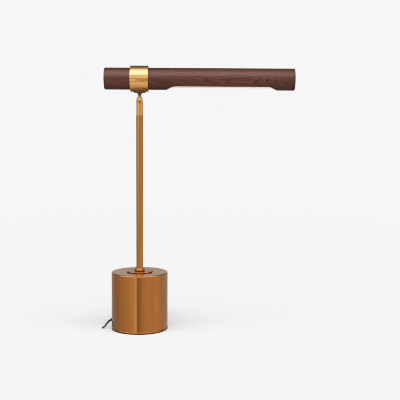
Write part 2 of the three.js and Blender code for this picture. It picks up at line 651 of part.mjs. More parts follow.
function headWireShape() {
  const y = leadHole.offset;
  const { radius, bendRadius, headEnd, step } = wire;
  const boardEnd = ledBoardLeft - slipGap;
  const level = ledBoardTop - ledBoard.thickness;
  const bend = arcPoints(bendRadius, level - bendRadius, bendRadius, Math.PI, quarterTurn, wireShiftShares.length - 1)
    .map(([x, z], i) => [x, y * wireShiftShares[i], z]);
  return tubeThrough([[0, y, -pinDrop - headEnd], [0, y, -bar.radius], ...bend, [boardEnd / 2, 0, level],
    [boardEnd - bendRadius, 0, level], [boardEnd, 0, level]], radius - seatGap, facets.lead, step);
}

// From the dimmer board through the rod's side slot and up the stem
function stemWireShape() {
  const { radius, bendRadius, step } = wire;
  const boardEdge = boardOffset - boardWidth / 2 - slipGap;
  const slotMiddle = rodSlotBottom + rod.slotHeight / 2;
  const slotTop = rodSlotBottom + rod.slotHeight;
  const level = boardTop - board.thickness / 2;
  const reach = tubeThrough([[0, boardEdge, level], [0, boardEdge - bendRadius / 2, level],
    [0, rod.radius + bendRadius / 2, level + bendRadius], [0, rod.radius, slotMiddle - bendRadius / 2],
    [0, 0, slotTop + bendRadius / 2], [0, 0, slotTop + bendRadius * 2]], radius, facets.lead, step);
  const riser = cylinder(radius, slotTop + bendRadius * 2 - seatGap, slotFloor - slipGap, facets.lead);
  return join(reach, riser);
}

// The supply lead inside the drum, from the bushing up to the board
function inletWireShape() {
  const [exitX, exitY] = [Math.cos(grommet.angle), Math.sin(grommet.angle)];
  const along = (radius, height) => [exitX * radius, exitY * radius, height];
  const bushingEnd = base.radius - base.wall - slipGap - grommet.flangeThickness - slipGap;
  const rise = weightRadius - inlet.wallDistance;
  const boardLeft = -boardLength / 2 - slipGap;
  const level = boardTop - board.thickness / 2;
  return tubeThrough([along(bushingEnd, grommet.height), along(bushingEnd - inlet.run, grommet.height),
    along(rise, grommet.height + inlet.wallDistance / 2), along(rise - inlet.run, (grommet.height + weightTop) / 2),
    along(rise, weightTop), [boardLeft - inlet.wallDistance, boardOffset / 2, level],
    [boardLeft - inlet.run, boardOffset, level], [boardLeft, boardOffset, level]],
  leadRadius, facets.lead, lead.step);
}

// Free lead

// Route of the lead between the bushing and the coil, chosen by hand
const leadRoute = [
  [-61.8, 8.5, 14.7], [-64.6, 6.9, 12.5], [-66.6, 1.5, 10.3], [-67.1, -5.8, 10.3], [-69, -9.9, 7.2],
  [-72.2, -10.1, 3.5], [-74.8, -7.3, 1.6], [-75.7, -3, 1.6], [-72.2, 4.8, 1.6], [-72.7, 12.1, 1.6],
  [-72.1, 25.5, 1.6], [-70.4, 39.9, 1.6], [-68, 54.1, 1.6], [-64.5, 64, 1.6], [-57.5, 72, 1.9], [-49.5, 76.2, 2.2],
];

// Route from the coil's top layer down to the adapter
const tailRoute = [
  [-25.5, 76.9, 11], [-19, 75.4, 9.2], [-12, 72.6, 6.6], [-5, 69.2, 4.4], [2, 65.8, 3.4],
  [8.4, 63.1, 4], [13.2, 62.2, 5.9], [16.9, 63.8, 8.8], [18.7, 66.6, 11.1],
];

// The route's ends: straight out of the bushing, into and out of the coil, and into the adapter's relief
function leadPoints() {
  const exit = [exitRadius * Math.cos(grommet.angle), exitRadius * Math.sin(grommet.angle), grommet.height];
  const coilStart = [coil.x - lead.diameter - slipGap, coil.y - coilOuterRadius, coilBottom];
  const [x, y, z] = coilStart;
  return [exit, ...leadRoute, [x - lead.diameter, y, z], coilStart];
}

function tailPoints() {
  const coilEnd = [coil.x + lead.diameter + slipGap, coil.y - coilOuterRadius, coilTop];
  const [x, y, z] = coilEnd;
  const reliefTip = adapter.y - adapter.length / 2 - seatGap - adapterRelief.length - slipGap;
  return [coilEnd, [x + lead.diameter, y, z], ...tailRoute,
    [adapter.x, reliefTip - lead.diameter, adapterRelief.height], [adapter.x, reliefTip, adapterRelief.height]];
}

// The coil winds anticlockwise from its front. Each layer spirals the other way, in then out,
// and the lead climbs to the next layer in the half turn round each reversal.
function coilLine() {
  const { x, y, pitch, turnsPerLayer, layers, stepsPerTurn } = coil;
  const turns = turnsPerLayer * layers;
  const points = [];
  for (let i = 0; i <= turns * stepsPerTurn; i++) {
    const turn = i / stepsPerTurn;
    const layer = Math.min(layers - 1, Math.floor(turn / turnsPerLayer));
    const inLayer = turn - layer * turnsPerLayer;
    const inwards = layer % 2 === 0 ? inLayer : turnsPerLayer - inLayer;
    const nearest = Math.round(turn / turnsPerLayer);
    const reversal = nearest > 0 && nearest < layers ? (turn - nearest * turnsPerLayer) / 0.5 : 1;
    const climb = Math.abs(reversal) < 0.5 ? nearest - 1 + reversal + 0.5 : layer;
    const angle = -quarterTurn + 2 * Math.PI * turn;
    const radius = coilOuterRadius - pitch * inwards;
    const height = coilBottom + pitch * climb;
    points.push(new THREE.Vector3(x + radius * Math.cos(angle), y + radius * Math.sin(angle), height));
  }
  const straight = new THREE.Vector3(lead.diameter, 0, 0);
  points.unshift(points[0].clone().sub(straight));
  points.push(points[points.length - 1].clone().add(straight));
  return points;
}

// One unbroken tube along a line of points, with flat ends square to the line
function tubeAlongLine(points, radius, sides) {
  const positions = [];
  const faces = [];
  const last = points.length - 1;
  for (let i = 0; i <= last; i++) {
    const ahead = points[Math.min(last, i + 1)].clone().sub(points[Math.max(0, i - 1)]).normalize();
    const side = new THREE.Vector3(ahead.y, -ahead.x, 0).normalize();
    const up = side.clone().cross(ahead);
    for (let k = 0; k < sides; k++) {
      const angle = (2 * Math.PI * k) / sides;
      const corner = points[i].clone().addScaledVector(side, radius * Math.cos(angle))
        .addScaledVector(up, radius * Math.sin(angle));
      positions.push(corner.x, corner.y, corner.z);
      const next = (k + 1) % sides;
      if (i < last) {
        const [a, b, c, d] = [i * sides + k, i * sides + next, (i + 1) * sides + next, (i + 1) * sides + k];
        faces.push(a, c, b, a, d, c);
      }
    }
  }
  for (let k = 1; k < sides - 1; k++) {
    faces.push(0, k, k + 1);
    faces.push(last * sides, last * sides + k + 1, last * sides + k);
  }
  const shape = new THREE.BufferGeometry();
  shape.setAttribute('position', new THREE.Float32BufferAttribute(positions, 3));
  shape.setIndex(faces);
  return shape;
}

// The least gap between stretches of the coil that lie more than half a turn apart
function leastGap(points, radius) {
  let least = Infinity;
  const apart = coil.stepsPerTurn / 2;
  for (let i = 0; i < points.length; i++) {
    for (let j = i + apart; j < points.length; j++) {
      least = Math.min(least, points[i].distanceTo(points[j]));
    }
  }
  return least - 2 * radius;
}

function lineLength(points) {
  return points.slice(1).reduce((sum, point, i) => sum + point.distanceTo(points[i]), 0);
}

// Hook and loop band round the coil's bundle, at its back
function tieShape() {
  const { x, y } = coil;
  const outer = coilOuterRadius + leadRadius + slipGap;
  const top = coilTop + leadRadius + slipGap;
  const bottom = coilBottom - leadRadius - slipGap;
  const band = (grow) => prismAlongX([[y + tie.innerReach - grow, bottom - grow], [y + outer + grow, bottom - grow],
    [y + outer + grow, top + grow], [y + tie.innerReach - grow, top + grow]],
  x - tie.width / 2 - (grow ? 0 : overrun), x + tie.width / 2 + (grow ? 0 : overrun));
  return cut(band(tie.thickness), band(0));
}

// Plug-in adapter lying on its face, with its blades up
function adapterShape() {
  const { x, y, width, length, height, cornerRadius, bevel } = adapter;
  const corners = [[1, 1, 0], [-1, 1, 1], [-1, -1, 2], [1, -1, 3]].flatMap(([sx, sy, quarter]) => arcPoints(
    sx * (width / 2 - cornerRadius), sy * (length / 2 - cornerRadius), cornerRadius - bevel,
    quarter * quarterTurn, (quarter + 1) * quarterTurn, 5));
  const body = new THREE.ExtrudeGeometry(outlineShape(corners), {
    depth: height - 2 * bevel, bevelEnabled: true, bevelThickness: bevel, bevelSize: bevel, bevelSegments: 2 });
  return body.translate(x, y, bevel);
}

function adapterReliefShape() {
  const { length, rootRadius, tipRadius, height } = adapterRelief;
  const front = adapter.y - adapter.length / 2 - seatGap;
  return turned([[0, 0], [rootRadius, 0], [tipRadius, length], [0, length]], facets.small)
    .rotateX(quarterTurn).translate(adapter.x, front, height);
}

function bladeShape(side) {
  const { spacing, thickness, width, length, tipBevel, offset } = blade;
  const bottom = adapter.height + seatGap;
  const halfWidth = width / 2;
  const outline = [[-halfWidth, 0], [halfWidth, 0], [halfWidth, length - tipBevel], [halfWidth - tipBevel, length],
    [tipBevel - halfWidth, length], [-halfWidth, length - tipBevel]];
  return prismAlongX(outline, -thickness / 2, thickness / 2)
    .translate(adapter.x + (side * spacing) / 2, adapter.y + offset, bottom);
}

// Assembly

const lamp = new THREE.Group();
const drum = new THREE.Group();
const column = new THREE.Group();
const swivel = new THREE.Group();
const head = new THREE.Group();
const supply = new THREE.Group();
swivel.position.z = pinHeight;
head.position.z = barAxisHeight;
lamp.add(drum, column, swivel, head, supply);

piece(drum, 'foot_pad', 'blackRubber', footPadShape());
piece(drum, 'base_plate', 'brass', basePlateShape());
screwPlaces().forEach(([x, y], i) => {
  piece(drum, `plate_screw_${i + 1}`, 'steel', plateScrewShape(0)).position.set(x, y, 0);
});
piece(drum, 'base_shell', 'brass', baseShellShape());
piece(drum, 'base_weight', 'castIron', weightShape());
piece(drum, 'threaded_rod', 'steel', rodShape());
piece(drum, 'rod_washer', 'steel', rodWasherShape());
piece(drum, 'rod_nut_lower', 'steel', nut(rodNut, rod.radius + seatGap, lowerNutBottom));
piece(drum, 'rod_nut_middle', 'steel', nut(rodNut, rod.radius + seatGap, weightTop + seatGap));
piece(drum, 'rod_nut_upper', 'steel', nut(rodNut, rod.radius + seatGap, shellCeiling - seatGap - rodNut.thickness));
piece(drum, 'board_tray', 'blackPlastic', boardTrayShape());
piece(drum, 'dimmer_board', 'greenBoard', dimmerBoardShape());
piece(drum, 'cord_bushing', 'blackRubber', grommetShape());
piece(drum, 'inlet_wire', 'blackPlastic', inletWireShape());
piece(drum, 'touch_ring', 'blackRubber',
  washer(touchRingRadius, rod.radius + slipGap, touchRingBottom, touchRingBottom + touchRing.thickness, facets.broad));
piece(drum, 'touch_disc', 'brass', touchDiscShape());

piece(column, 'stem_collar', 'brass', collarShape());
piece(column, 'stem_bush', 'steel', stemBushShape());
piece(column, 'stem_tube', 'brass', stemShape());
piece(column, 'stem_wire', 'redWire', stemWireShape());
piece(column, 'swivel_post', 'paleBrass', swivelPostShape());

piece(swivel, 'knuckle_fork', 'paleBrass', forkShape());
piece(swivel, 'hinge_screw', 'steel', hingeScrewShape());
piece(swivel, 'swivel_washer', 'steel', washer(swivelWasher.radius, spindle.radius + seatGap,
  swivelWasherBottom, swivelWasherBottom + swivelWasher.thickness, facets.small).translate(0, 0, -pinHeight));
piece(swivel, 'swivel_nut', 'steel', nut(swivelNut, spindle.radius + seatGap, swivelNutBottom)
  .translate(0, 0, -pinHeight));

piece(head, 'head_neck', 'paleBrass', neckShape());
saddleScrewPlaces().forEach((y, i) => {
  piece(head, `saddle_screw_${i + 1}`, 'steel', saddleScrewShape(0)).position.y = y;
});
piece(head, 'ring_clamp', 'paleBrass', ringShape());
piece(head, 'ring_grub_screw', 'steel', grubScrewShape());
piece(head, 'wood_tube', 'wood', woodTubeShape());
piece(head, 'end_cap_right', 'wood', endCapShape()).position.x = woodRight + seatGap;
piece(head, 'end_cap_left', 'wood', endCapShape().rotateZ(Math.PI)).position.x = woodLeft - seatGap;
piece(head, 'heat_sink', 'aluminium', heatSinkShape());
piece(head, 'led_board', 'whiteBoard', ledBoardShape());
piece(head, 'diffuser', 'frosted', diffuserShape());
piece(head, 'head_wire', 'redWire', headWireShape());

const coilPoints = coilLine();
piece(supply, 'cord_lead', 'blackPlastic', tubeThrough(leadPoints(), leadRadius, facets.lead, lead.step));
piece(supply, 'cord_coil', 'blackPlastic', tubeAlongLine(coilPoints, leadRadius, facets.coil));
piece(supply, 'cord_tail', 'blackPlastic', tubeThrough(tailPoints(), leadRadius, facets.lead, lead.step));
piece(supply, 'cord_tie', 'blackRubber', tieShape());
piece(supply, 'plug_adapter', 'blackPlastic', adapterShape());
piece(supply, 'plug_relief', 'blackRubber', adapterReliefShape());
piece(supply, 'plug_blade_left', 'steel', bladeShape(-1));
piece(supply, 'plug_blade_right', 'steel', bladeShape(1));

console.log('coil: least gap to itself', leastGap(coilPoints, leadRadius).toFixed(2), 'mm,',
  'length', lineLength(coilPoints).toFixed(0), 'mm');

export default lamp;
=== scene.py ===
"""Looks of a table lamp: a turned walnut light bar in a brass ring, on a slotted knuckle,
a slim brass stem and a weighted brass drum, with a low-voltage lead and its plug-in adapter."""

import json
import math

import bmesh
import bpy
from bpy.props import FloatProperty, FloatVectorProperty, IntProperty, PointerProperty
from mathutils import Matrix, Vector


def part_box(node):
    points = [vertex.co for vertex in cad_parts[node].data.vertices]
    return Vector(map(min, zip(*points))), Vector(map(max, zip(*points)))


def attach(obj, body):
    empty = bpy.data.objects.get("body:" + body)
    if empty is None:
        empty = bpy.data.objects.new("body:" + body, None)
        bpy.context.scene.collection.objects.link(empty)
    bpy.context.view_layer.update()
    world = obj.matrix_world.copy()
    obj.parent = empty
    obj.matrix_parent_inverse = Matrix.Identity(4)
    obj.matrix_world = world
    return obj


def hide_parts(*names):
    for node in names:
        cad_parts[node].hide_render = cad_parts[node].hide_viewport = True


bl_info = {
    "name": "Bar Lamp",
    "version": (1, 0, 0),
    "blender": (4, 5, 0),
    "location": "View3D > Sidebar > Lamp",
    "description": "Builds the visible pieces of a table lamp around its engineering model",
    "category": "Add Mesh",
}

MM = 0.001
QUARTER = math.pi / 2
ROD_HOLE = 5.1 * MM  # radius of the hole in drum and disc for the threaded rod
PIN_HOLE = 1.6 * MM  # radius of the hinge screw's hole in fork and tongue

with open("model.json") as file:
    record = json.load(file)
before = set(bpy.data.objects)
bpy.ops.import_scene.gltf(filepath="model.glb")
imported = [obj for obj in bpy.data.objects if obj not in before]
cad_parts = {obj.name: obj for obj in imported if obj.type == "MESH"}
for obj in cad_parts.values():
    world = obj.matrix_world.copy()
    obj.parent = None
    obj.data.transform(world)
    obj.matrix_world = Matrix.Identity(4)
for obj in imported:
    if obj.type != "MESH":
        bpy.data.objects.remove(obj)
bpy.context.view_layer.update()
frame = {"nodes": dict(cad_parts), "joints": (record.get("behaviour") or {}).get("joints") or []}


def low(node):
    """Lowest corner of an engineering solid, in metres."""
    return Vector(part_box(node)[0])


def high(node):
    """Highest corner of an engineering solid, in metres."""
    return Vector(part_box(node)[1])


def half_depth(node):
    """Half of a solid's depth along Y, which is the radius of a round one."""
    return (high(node).y - low(node).y) / 2


def linear(code):
    """The linear colour of an sRGB hex value."""
    parts = [int(code[i : i + 2], 16) / 255 for i in (1, 3, 5)]
    return [c / 12.92 if c <= 0.04045 else ((c + 0.055) / 1.055) ** 2.4 for c in parts]


def length(name, description, default):
    """A length property, whose default is in metres."""
    return FloatProperty(name=name, description=description, default=default, unit="LENGTH", precision=5)


def colour(name, description, code):
    """A colour property from an sRGB hex value."""
    return FloatVectorProperty(
        name=name, description=description, default=linear(code), subtype="COLOR", size=3, min=0, max=1
    )


class LampSizes(bpy.types.PropertyGroup):
    """Sizes of the visible pieces that a user would change."""

    drum_radius: length("Drum radius", "Outer radius of the brass drum", half_depth("base_shell"))
    drum_edge: length("Drum edge", "Rounding of the drum's upper edge", 1.6 * MM)
    drum_wall: length("Drum wall", "Thickness of the drum's spun wall", 1.5 * MM)
    plate_edge: length("Plate edge", "Rounding of the bottom plate's rim", 0.6 * MM)
    # Partly painted shade: the real foot is drawn wider than its solid, so its black also stands in for the
    # contact shadow under the drum.
    foot_lip: length("Foot lip", "How far the soft foot stands out past its solid", 1.3 * MM)
    disc_edge: length("Disc edge", "Rounding of the touch disc's rim", 0.35 * MM)
    stem_wall: length("Stem wall", "Wall of the stem tube", 1.0 * MM)
    slot_width: length("Slot width", "Width of the slot in the knuckle", 5.0 * MM)
    slot_depth: length("Slot depth", "Depth of the slot below the hinge screw", 6.15 * MM)
    tongue_thickness: length("Tongue thickness", "Thickness of the tongue in the slot", 4.4 * MM)
    ring_edge: length("Ring edge", "Rounding of the ring's rims", 0.7 * MM)
    bar_wall: length("Bar wall", "Wall of the wooden tube", 4.0 * MM)
    cap_edge: length("Cap edge", "Rounding of the bar's ends", 1.8 * MM)
    window_start: length("Window start", "Where the light window starts, from the stem", 52.8 * MM)
    window_end: length("Window end", "Where the light window ends, from the stem", 274.2 * MM)
    window_depth: length("Window depth", "Depth of the cut under the bar", 6.5 * MM)
    window_cove: length("Window cove", "Run of the cove at each end of the cut", 22.0 * MM)
    lead_diameter: length("Lead diameter", "Outer diameter of the lead", 2.6 * MM)
    sides: IntProperty(name="Sides", description="Facets round a turned piece", default=128, min=24, max=256)


class LampColours(bpy.types.PropertyGroup):
    """Colours of the finishes."""

    antique_brass: colour("Antique brass", "Brushed and lacquered brass of drum, disc and collar", "#B07032")
    satin_brass: colour("Satin brass", "Fine-turned brass of ring and knuckle", "#DEA055")
    tube_brass: colour("Drawn brass", "Lacquered brass of the stem tube", "#AF773A")
    # The neck's dark brown is painted shade: it stands for shadow and dark reflections on the neck.
    dark_brass: colour("Dark brass", "Burnished brass of the neck", "#64401F")
    walnut_dark: colour("Walnut, dark", "Late growth and pores of the walnut", "#2A100B")
    walnut_mid: colour("Walnut, middle", "Body of the walnut", "#3F1B13")
    walnut_light: colour("Walnut, light", "Early growth of the walnut", "#53261B")
    glow: colour("Glow", "Light of the diffuser", "#FFE2C6")
    pvc_black: colour("PVC, black", "Jacket of the lead", "#111214")
    floor: colour("Floor", "Pale studio floor", "#F9FBFB")


def sizes():
    return bpy.context.scene.lamp_sizes


def colours():
    return bpy.context.scene.lamp_colours


# Meshes


def rounded(corners, steps=6, support=0.3):
    """A closed outline from (x, y, rounding) corners. A rounding is an arc with a support point at each end."""
    outline = []
    for i, (x, y, rounding) in enumerate(corners):
        here = Vector((x, y))
        if rounding <= 0:
            outline.append(here)
            continue
        before = (Vector(corners[i - 1][:2]) - here).normalized()
        after = (Vector(corners[(i + 1) % len(corners)][:2]) - here).normalized()
        half = before.angle(after) / 2
        reach = rounding / math.tan(half)
        centre = here + (before + after).normalized() * (rounding / math.sin(half))
        start = here + before * reach - centre
        turn = math.copysign(math.pi - 2 * half, before.x * after.y - before.y * after.x)
        outline.append(here + before * (reach + support * rounding))
        for k in range(steps + 1):
            c, s = math.cos(-turn * k / steps), math.sin(-turn * k / steps)
            outline.append(centre + Vector((start.x * c - start.y * s, start.x * s + start.y * c)))
        outline.append(here + after * (reach + support * rounding))
    return outline


def arc(centre, radius, start, end, steps):
    """Points of an arc, from one angle to another."""
    return [
        Vector((centre[0] + radius * math.cos(a), centre[1] + radius * math.sin(a)))
        for a in (start + (end - start) * k / steps for k in range(steps + 1))
    ]


def as_object(name, mesh, smooth=35):
    """Turns a bmesh into an object with outward faces, smooth but for edges past the given angle."""
    bmesh.ops.remove_doubles(mesh, verts=mesh.verts, dist=1e-6)
    bmesh.ops.dissolve_degenerate(mesh, edges=mesh.edges, dist=1e-7)
    bmesh.ops.recalc_face_normals(mesh, faces=mesh.faces)
    data = bpy.data.meshes.new(name)
    mesh.to_mesh(data)
    mesh.free()
    data.shade_smooth()
    data.set_sharp_from_angle(angle=math.radians(smooth))
    piece = bpy.data.objects.new(name, data)
    bpy.context.collection.objects.link(piece)
    return piece


def turned(name, outline, sides=None, about=None, smooth=35):
    """A solid of revolution about Z from a closed (radius, height) outline, then set in place by a matrix."""
    sides = sides or sizes().sides
    mesh = bmesh.new()
    rings = []
    for r, z in outline:
        if r < 1e-7:
            rings.append([mesh.verts.new((0, 0, z))] * sides)
            continue
        angles = (2 * math.pi * k / sides for k in range(sides))
        rings.append([mesh.verts.new((r * math.cos(a), r * math.sin(a), z)) for a in angles])
    for here, ahead in zip(rings, rings[1:] + rings[:1]):
        if here[0] is here[1] and ahead[0] is ahead[1]:
            continue
        for k in range(sides):
            n = (k + 1) % sides
            corners = list(dict.fromkeys([here[k], here[n], ahead[n], ahead[k]]))
            mesh.faces.new(corners)
    if about is not None:
        mesh.transform(about)
    return as_object(name, mesh, smooth)


def cylinder(name, radius, run, about, sides=48):
    """A plain cylinder from the origin along Z, then set in place by a matrix."""
    outline = [Vector(p) for p in ((0, 0), (radius, 0), (radius, run), (0, run))]
    return turned(name, outline, sides=sides, about=about)


def prism(name, outline, depth, place, smooth=35):
    """A prism of an outline in X and Y, from z = 0 to depth, then set in place by a matrix."""
    mesh = bmesh.new()
    bottom = [mesh.verts.new((x, y, 0)) for x, y in outline]
    top = [mesh.verts.new((x, y, depth)) for x, y in outline]
    mesh.faces.new(bottom)
    mesh.faces.new(top)
    for k in range(len(outline)):
        n = (k + 1) % len(outline)
        mesh.faces.new((bottom[k], bottom[n], top[n], top[k]))
    mesh.transform(place)
    return as_object(name, mesh, smooth)


def along_x(x=0.0, y=0.0, z=0.0):
    """Places a piece that was made along Z so that it runs along +X from the given point."""
    return Matrix.Translation((x, y, z)) @ Matrix.Rotation(QUARTER, 4, "Y")


def along_y(x=0.0, y=0.0, z=0.0):
    """Places a piece that was made along Z so that it runs along +Y from the given point."""
    return Matrix.Translation((x, y, z)) @ Matrix.Rotation(-QUARTER, 4, "X")


def cross_pin(name, radius, left, right, z, sides=48):
    """A plain cylinder along X, from one place to another, at the given height."""
    return cylinder(name, radius, right - left, along_x(left, 0, z), sides)


def baked(piece):
    """Replaces the piece's mesh with its evaluated one, and drops the modifiers."""
    graph = bpy.context.evaluated_depsgraph_get()
    graph.update()
    data = bpy.data.meshes.new_from_object(piece.evaluated_get(graph))
    piece.modifiers.clear()
    piece.data = data
    return piece


def shaped(piece, operation, *tools, smooth=35):
    """Cuts, joins or intersects the piece with the tools, and deletes them."""
    for tool in tools:
        step = piece.modifiers.new("shape", "BOOLEAN")
        step.operation = operation
        step.solver = "EXACT"
        step.object = tool
    baked(piece)
    for tool in tools:
        bpy.data.objects.remove(tool)
    piece.data.materials.clear()
    piece.data.shade_smooth()
    piece.data.set_sharp_from_angle(angle=math.radians(smooth))
    return piece


def softened(piece, width, segments=3):
    """Breaks the piece's sharp edges, from 50 degrees on, with a small bevel."""
    edge = piece.modifiers.new("edge", "BEVEL")
    edge.width = width
    edge.segments = segments
    edge.limit_method = "ANGLE"
    edge.angle_limit = math.radians(50)
    edge.harden_normals = False
    baked(piece)
    piece.data.shade_smooth()
    piece.data.set_sharp_from_angle(angle=math.radians(35))
    # The broad faces keep their shading up to the small bevel.
    even = piece.modifiers.new("even", "WEIGHTED_NORMAL")
    even.mode = "FACE_AREA"
    even.keep_sharp = True
    baked(piece)
    return piece


def settle(piece, body, finish, slot, *nodes):
    """Gives a finished piece its material and body, and hides the solids that it stands for. The slot is not
    used.
    """
    piece.data.materials.clear()
    piece.data.materials.append(finish)
    for face in getattr(piece.data, "polygons", ()):
        face.material_index = 0
    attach(piece, body)
    if nodes:
        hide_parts(*nodes)
    return piece


# Nodes


def add(tree, kind, inputs=(), **settings):
    """Adds a node with its settings. An input takes a value or the socket that it is linked from."""
    node = tree.nodes.new(kind)
    for key, value in settings.items():
        setattr(node, key, value)
    for key, value in dict(inputs).items():
        if isinstance(value, bpy.types.NodeSocket):
            tree.links.new(value, node.inputs[key])
        else:
            node.inputs[key].default_value = value
    return node


def maths(tree, operation, first, second=0.0):
    """The result of one sum on two numbers or sockets."""
    return add(tree, "ShaderNodeMath", {0: first, 1: second}, operation=operation).outputs[0]


def hypotenuse(tree, first, second):
    """The root of the sum of two squares."""
    squares = [maths(tree, "POWER", side, 2.0) for side in (first, second)]
    return maths(tree, "SQRT", maths(tree, "ADD", *squares))


def axes(tree):
    """The object coordinates, as sockets named X, Y and Z."""
    place = add(tree, "ShaderNodeTexCoord").outputs["Object"]
    return add(tree, "ShaderNodeSeparateXYZ", {0: place}).outputs


def in_mm(tree, x, y, z):
    """Object coordinates counted in pattern cells of the given size in millimetres."""
    place = add(tree, "ShaderNodeTexCoord").outputs["Object"]
    cells = (1 / (x * MM), 1 / (y * MM), 1 / (z * MM))
    return add(tree, "ShaderNodeVectorMath", {0: place, 1: cells}, operation="MULTIPLY").outputs[0]


def noise(tree, vector, detail=3.0, roughness=0.55):
    """A noise value from 0 to 1, one cell to a unit of the vector."""
    settings = {"Vector": vector, "Scale": 1.0, "Detail": detail, "Roughness": roughness}
    return add(tree, "ShaderNodeTexNoise", settings).outputs["Fac"]


def span(tree, value, low_in, high_in, low_out=0.0, high_out=1.0):
    """Maps a value from one range to another, and clamps it there."""
    ranges = {"From Min": low_in, "From Max": high_in, "To Min": low_out, "To Max": high_out}
    return add(tree, "ShaderNodeMapRange", {"Value": value, **ranges}).outputs["Result"]


def blend(tree, share, first, second):
    """A colour between two colours or sockets."""
    mix = add(tree, "ShaderNodeMix", data_type="RGBA")
    for key, value in ((0, share), (6, first), (7, second)):
        if isinstance(value, bpy.types.NodeSocket):
            tree.links.new(value, mix.inputs[key])
        else:
            mix.inputs[key].default_value = value if key == 0 else (*value[:3], 1)
    return mix.outputs[2]


def bump(tree, height, depth):
    """A normal from a height from 0 to 1 that stands for a depth in millimetres."""
    inputs = {"Height": height, "Strength": 1.0, "Distance": depth * MM}
    return add(tree, "ShaderNodeBump", inputs).outputs["Normal"]


def material(name, **fixed):
    """A new material, its node tree and its shader, with constant values on the shader's own sockets."""
    made = bpy.data.materials.new(name)
    made.use_nodes = True
    tree = made.node_tree
    tree.nodes.clear()
    shader = add(tree, "ShaderNodeBsdfPrincipled")
    add(tree, "ShaderNodeOutputMaterial", {"Surface": shader.outputs[0]})
    for key, value in fixed.items():
        shader.inputs[key.replace("_", " ")].default_value = value
    return made, tree, shader


def feed(tree, shader, **sockets):
    """Links patterns to the shader's sockets."""
    for key, value in sockets.items():
        tree.links.new(value, shader.inputs[key.replace("_", " ")])


def once(make):
    """Keeps a material that is made the first time it is asked for."""
    kept = {}

    def fetch():
        if make not in kept or kept[make].name not in bpy.data.materials:
            kept[make] = make()
        return kept[make]

    return fetch


def shade(code, factor):
    """A colour made lighter or darker."""
    return [min(1.0, c * factor) for c in code]


def node_group(name, *inputs):
    """A new geometry tree, its input node, and the keys of its inputs other than the mesh that it works on."""
    tree = bpy.data.node_groups.new(name, "GeometryNodeTree")
    keys = []
    for title, kind in inputs:
        socket = tree.interface.new_socket(title, in_out="INPUT", socket_type="NodeSocket" + kind)
        if kind != "Geometry":
            keys.append(socket.identifier)
    tree.interface.new_socket("Mesh", in_out="OUTPUT", socket_type="NodeSocketGeometry")
    return tree, add(tree, "NodeGroupInput"), keys


def end_group(tree, mesh, finish):
    """Ends a geometry tree in real geometry with its material."""
    real = add(tree, "GeometryNodeRealizeInstances", {0: mesh})
    done = add(tree, "GeometryNodeSetMaterial", {"Geometry": real.outputs[0], "Material": finish})
    add(tree, "NodeGroupOutput", {0: done.outputs[0]})


def by_nodes(piece, tree, keys, values):
    """Runs a geometry tree on the piece with the given inputs, and bakes the result."""
    step = piece.modifiers.new("nodes", "NODES")
    step.node_group = tree
    for key, value in zip(keys, values):
        step[key] = value
    return baked(piece)


# Finishes


def brushed_round_z(tree, radius):
    """Hairlines that run round the Z axis. Real ones are 0.1 mm wide, these 0.6 mm, so that they show at all."""
    place = axes(tree)
    reach = maths(tree, "MULTIPLY", maths(tree, "ARCTAN2", place["Y"], place["X"]), radius / (40 * MM))
    rise = maths(tree, "DIVIDE", place["Z"], 0.6 * MM)
    cells = add(tree, "ShaderNodeCombineXYZ", {"X": reach, "Y": rise})
    return noise(tree, cells.outputs[0], 2.0)


@once
def antique_brass():
    """Antique brass, belt-brushed round the drum and lacquered: upright reflections, soft but crisp-sided."""
    made, tree, shader = material(
        "Antique brass, brushed and lacquered", Metallic=1.0, Anisotropic=0.7, Anisotropic_Rotation=0.25,
        Coat_Weight=0.5, Coat_Roughness=0.08, Coat_IOR=1.5,
    )
    tone = colours().antique_brass
    lines = brushed_round_z(tree, sizes().drum_radius)
    cloud = noise(tree, in_mm(tree, 14, 14, 90), 3.0)  # patches of the patina, drawn upright by the buffing
    aged = blend(tree, span(tree, cloud, 0.3, 0.7), shade(tone, 0.93), shade(tone, 1.06))
    feed(
        tree, shader,
        Base_Color=blend(tree, span(tree, lines, 0.3, 0.7, 0, 0.35), aged, shade(tone, 0.86)),
        Roughness=span(tree, lines, 0.2, 0.8, 0.13, 0.19),
        Normal=bump(tree, lines, 0.004),
    )
    tangent = add(tree, "ShaderNodeTangent", direction_type="RADIAL", axis="Z")
    feed(tree, shader, Tangent=tangent.outputs[0])
    return made


@once
def antique_brass_flat():
    """The same brass on flat faces, faced on a lathe: fine rings round the stem, no strong direction."""
    made, tree, shader = material(
        "Antique brass, faced and lacquered", Metallic=1.0, Coat_Weight=0.35, Coat_Roughness=0.14, Coat_IOR=1.5
    )
    tone = colours().antique_brass
    place = axes(tree)
    out = maths(tree, "DIVIDE", hypotenuse(tree, place["X"], place["Y"]), 0.7 * MM)
    rings = noise(tree, add(tree, "ShaderNodeCombineXYZ", {"X": out}).outputs[0], 2.0)
    cloud = noise(tree, in_mm(tree, 25, 25, 25), 3.0)
    feed(
        tree, shader,
        Base_Color=blend(tree, span(tree, cloud, 0.3, 0.7), shade(tone, 0.92), shade(tone, 1.05)),
        Roughness=span(tree, rings, 0.2, 0.8, 0.17, 0.25),
        Normal=bump(tree, rings, 0.01),
    )
    return made


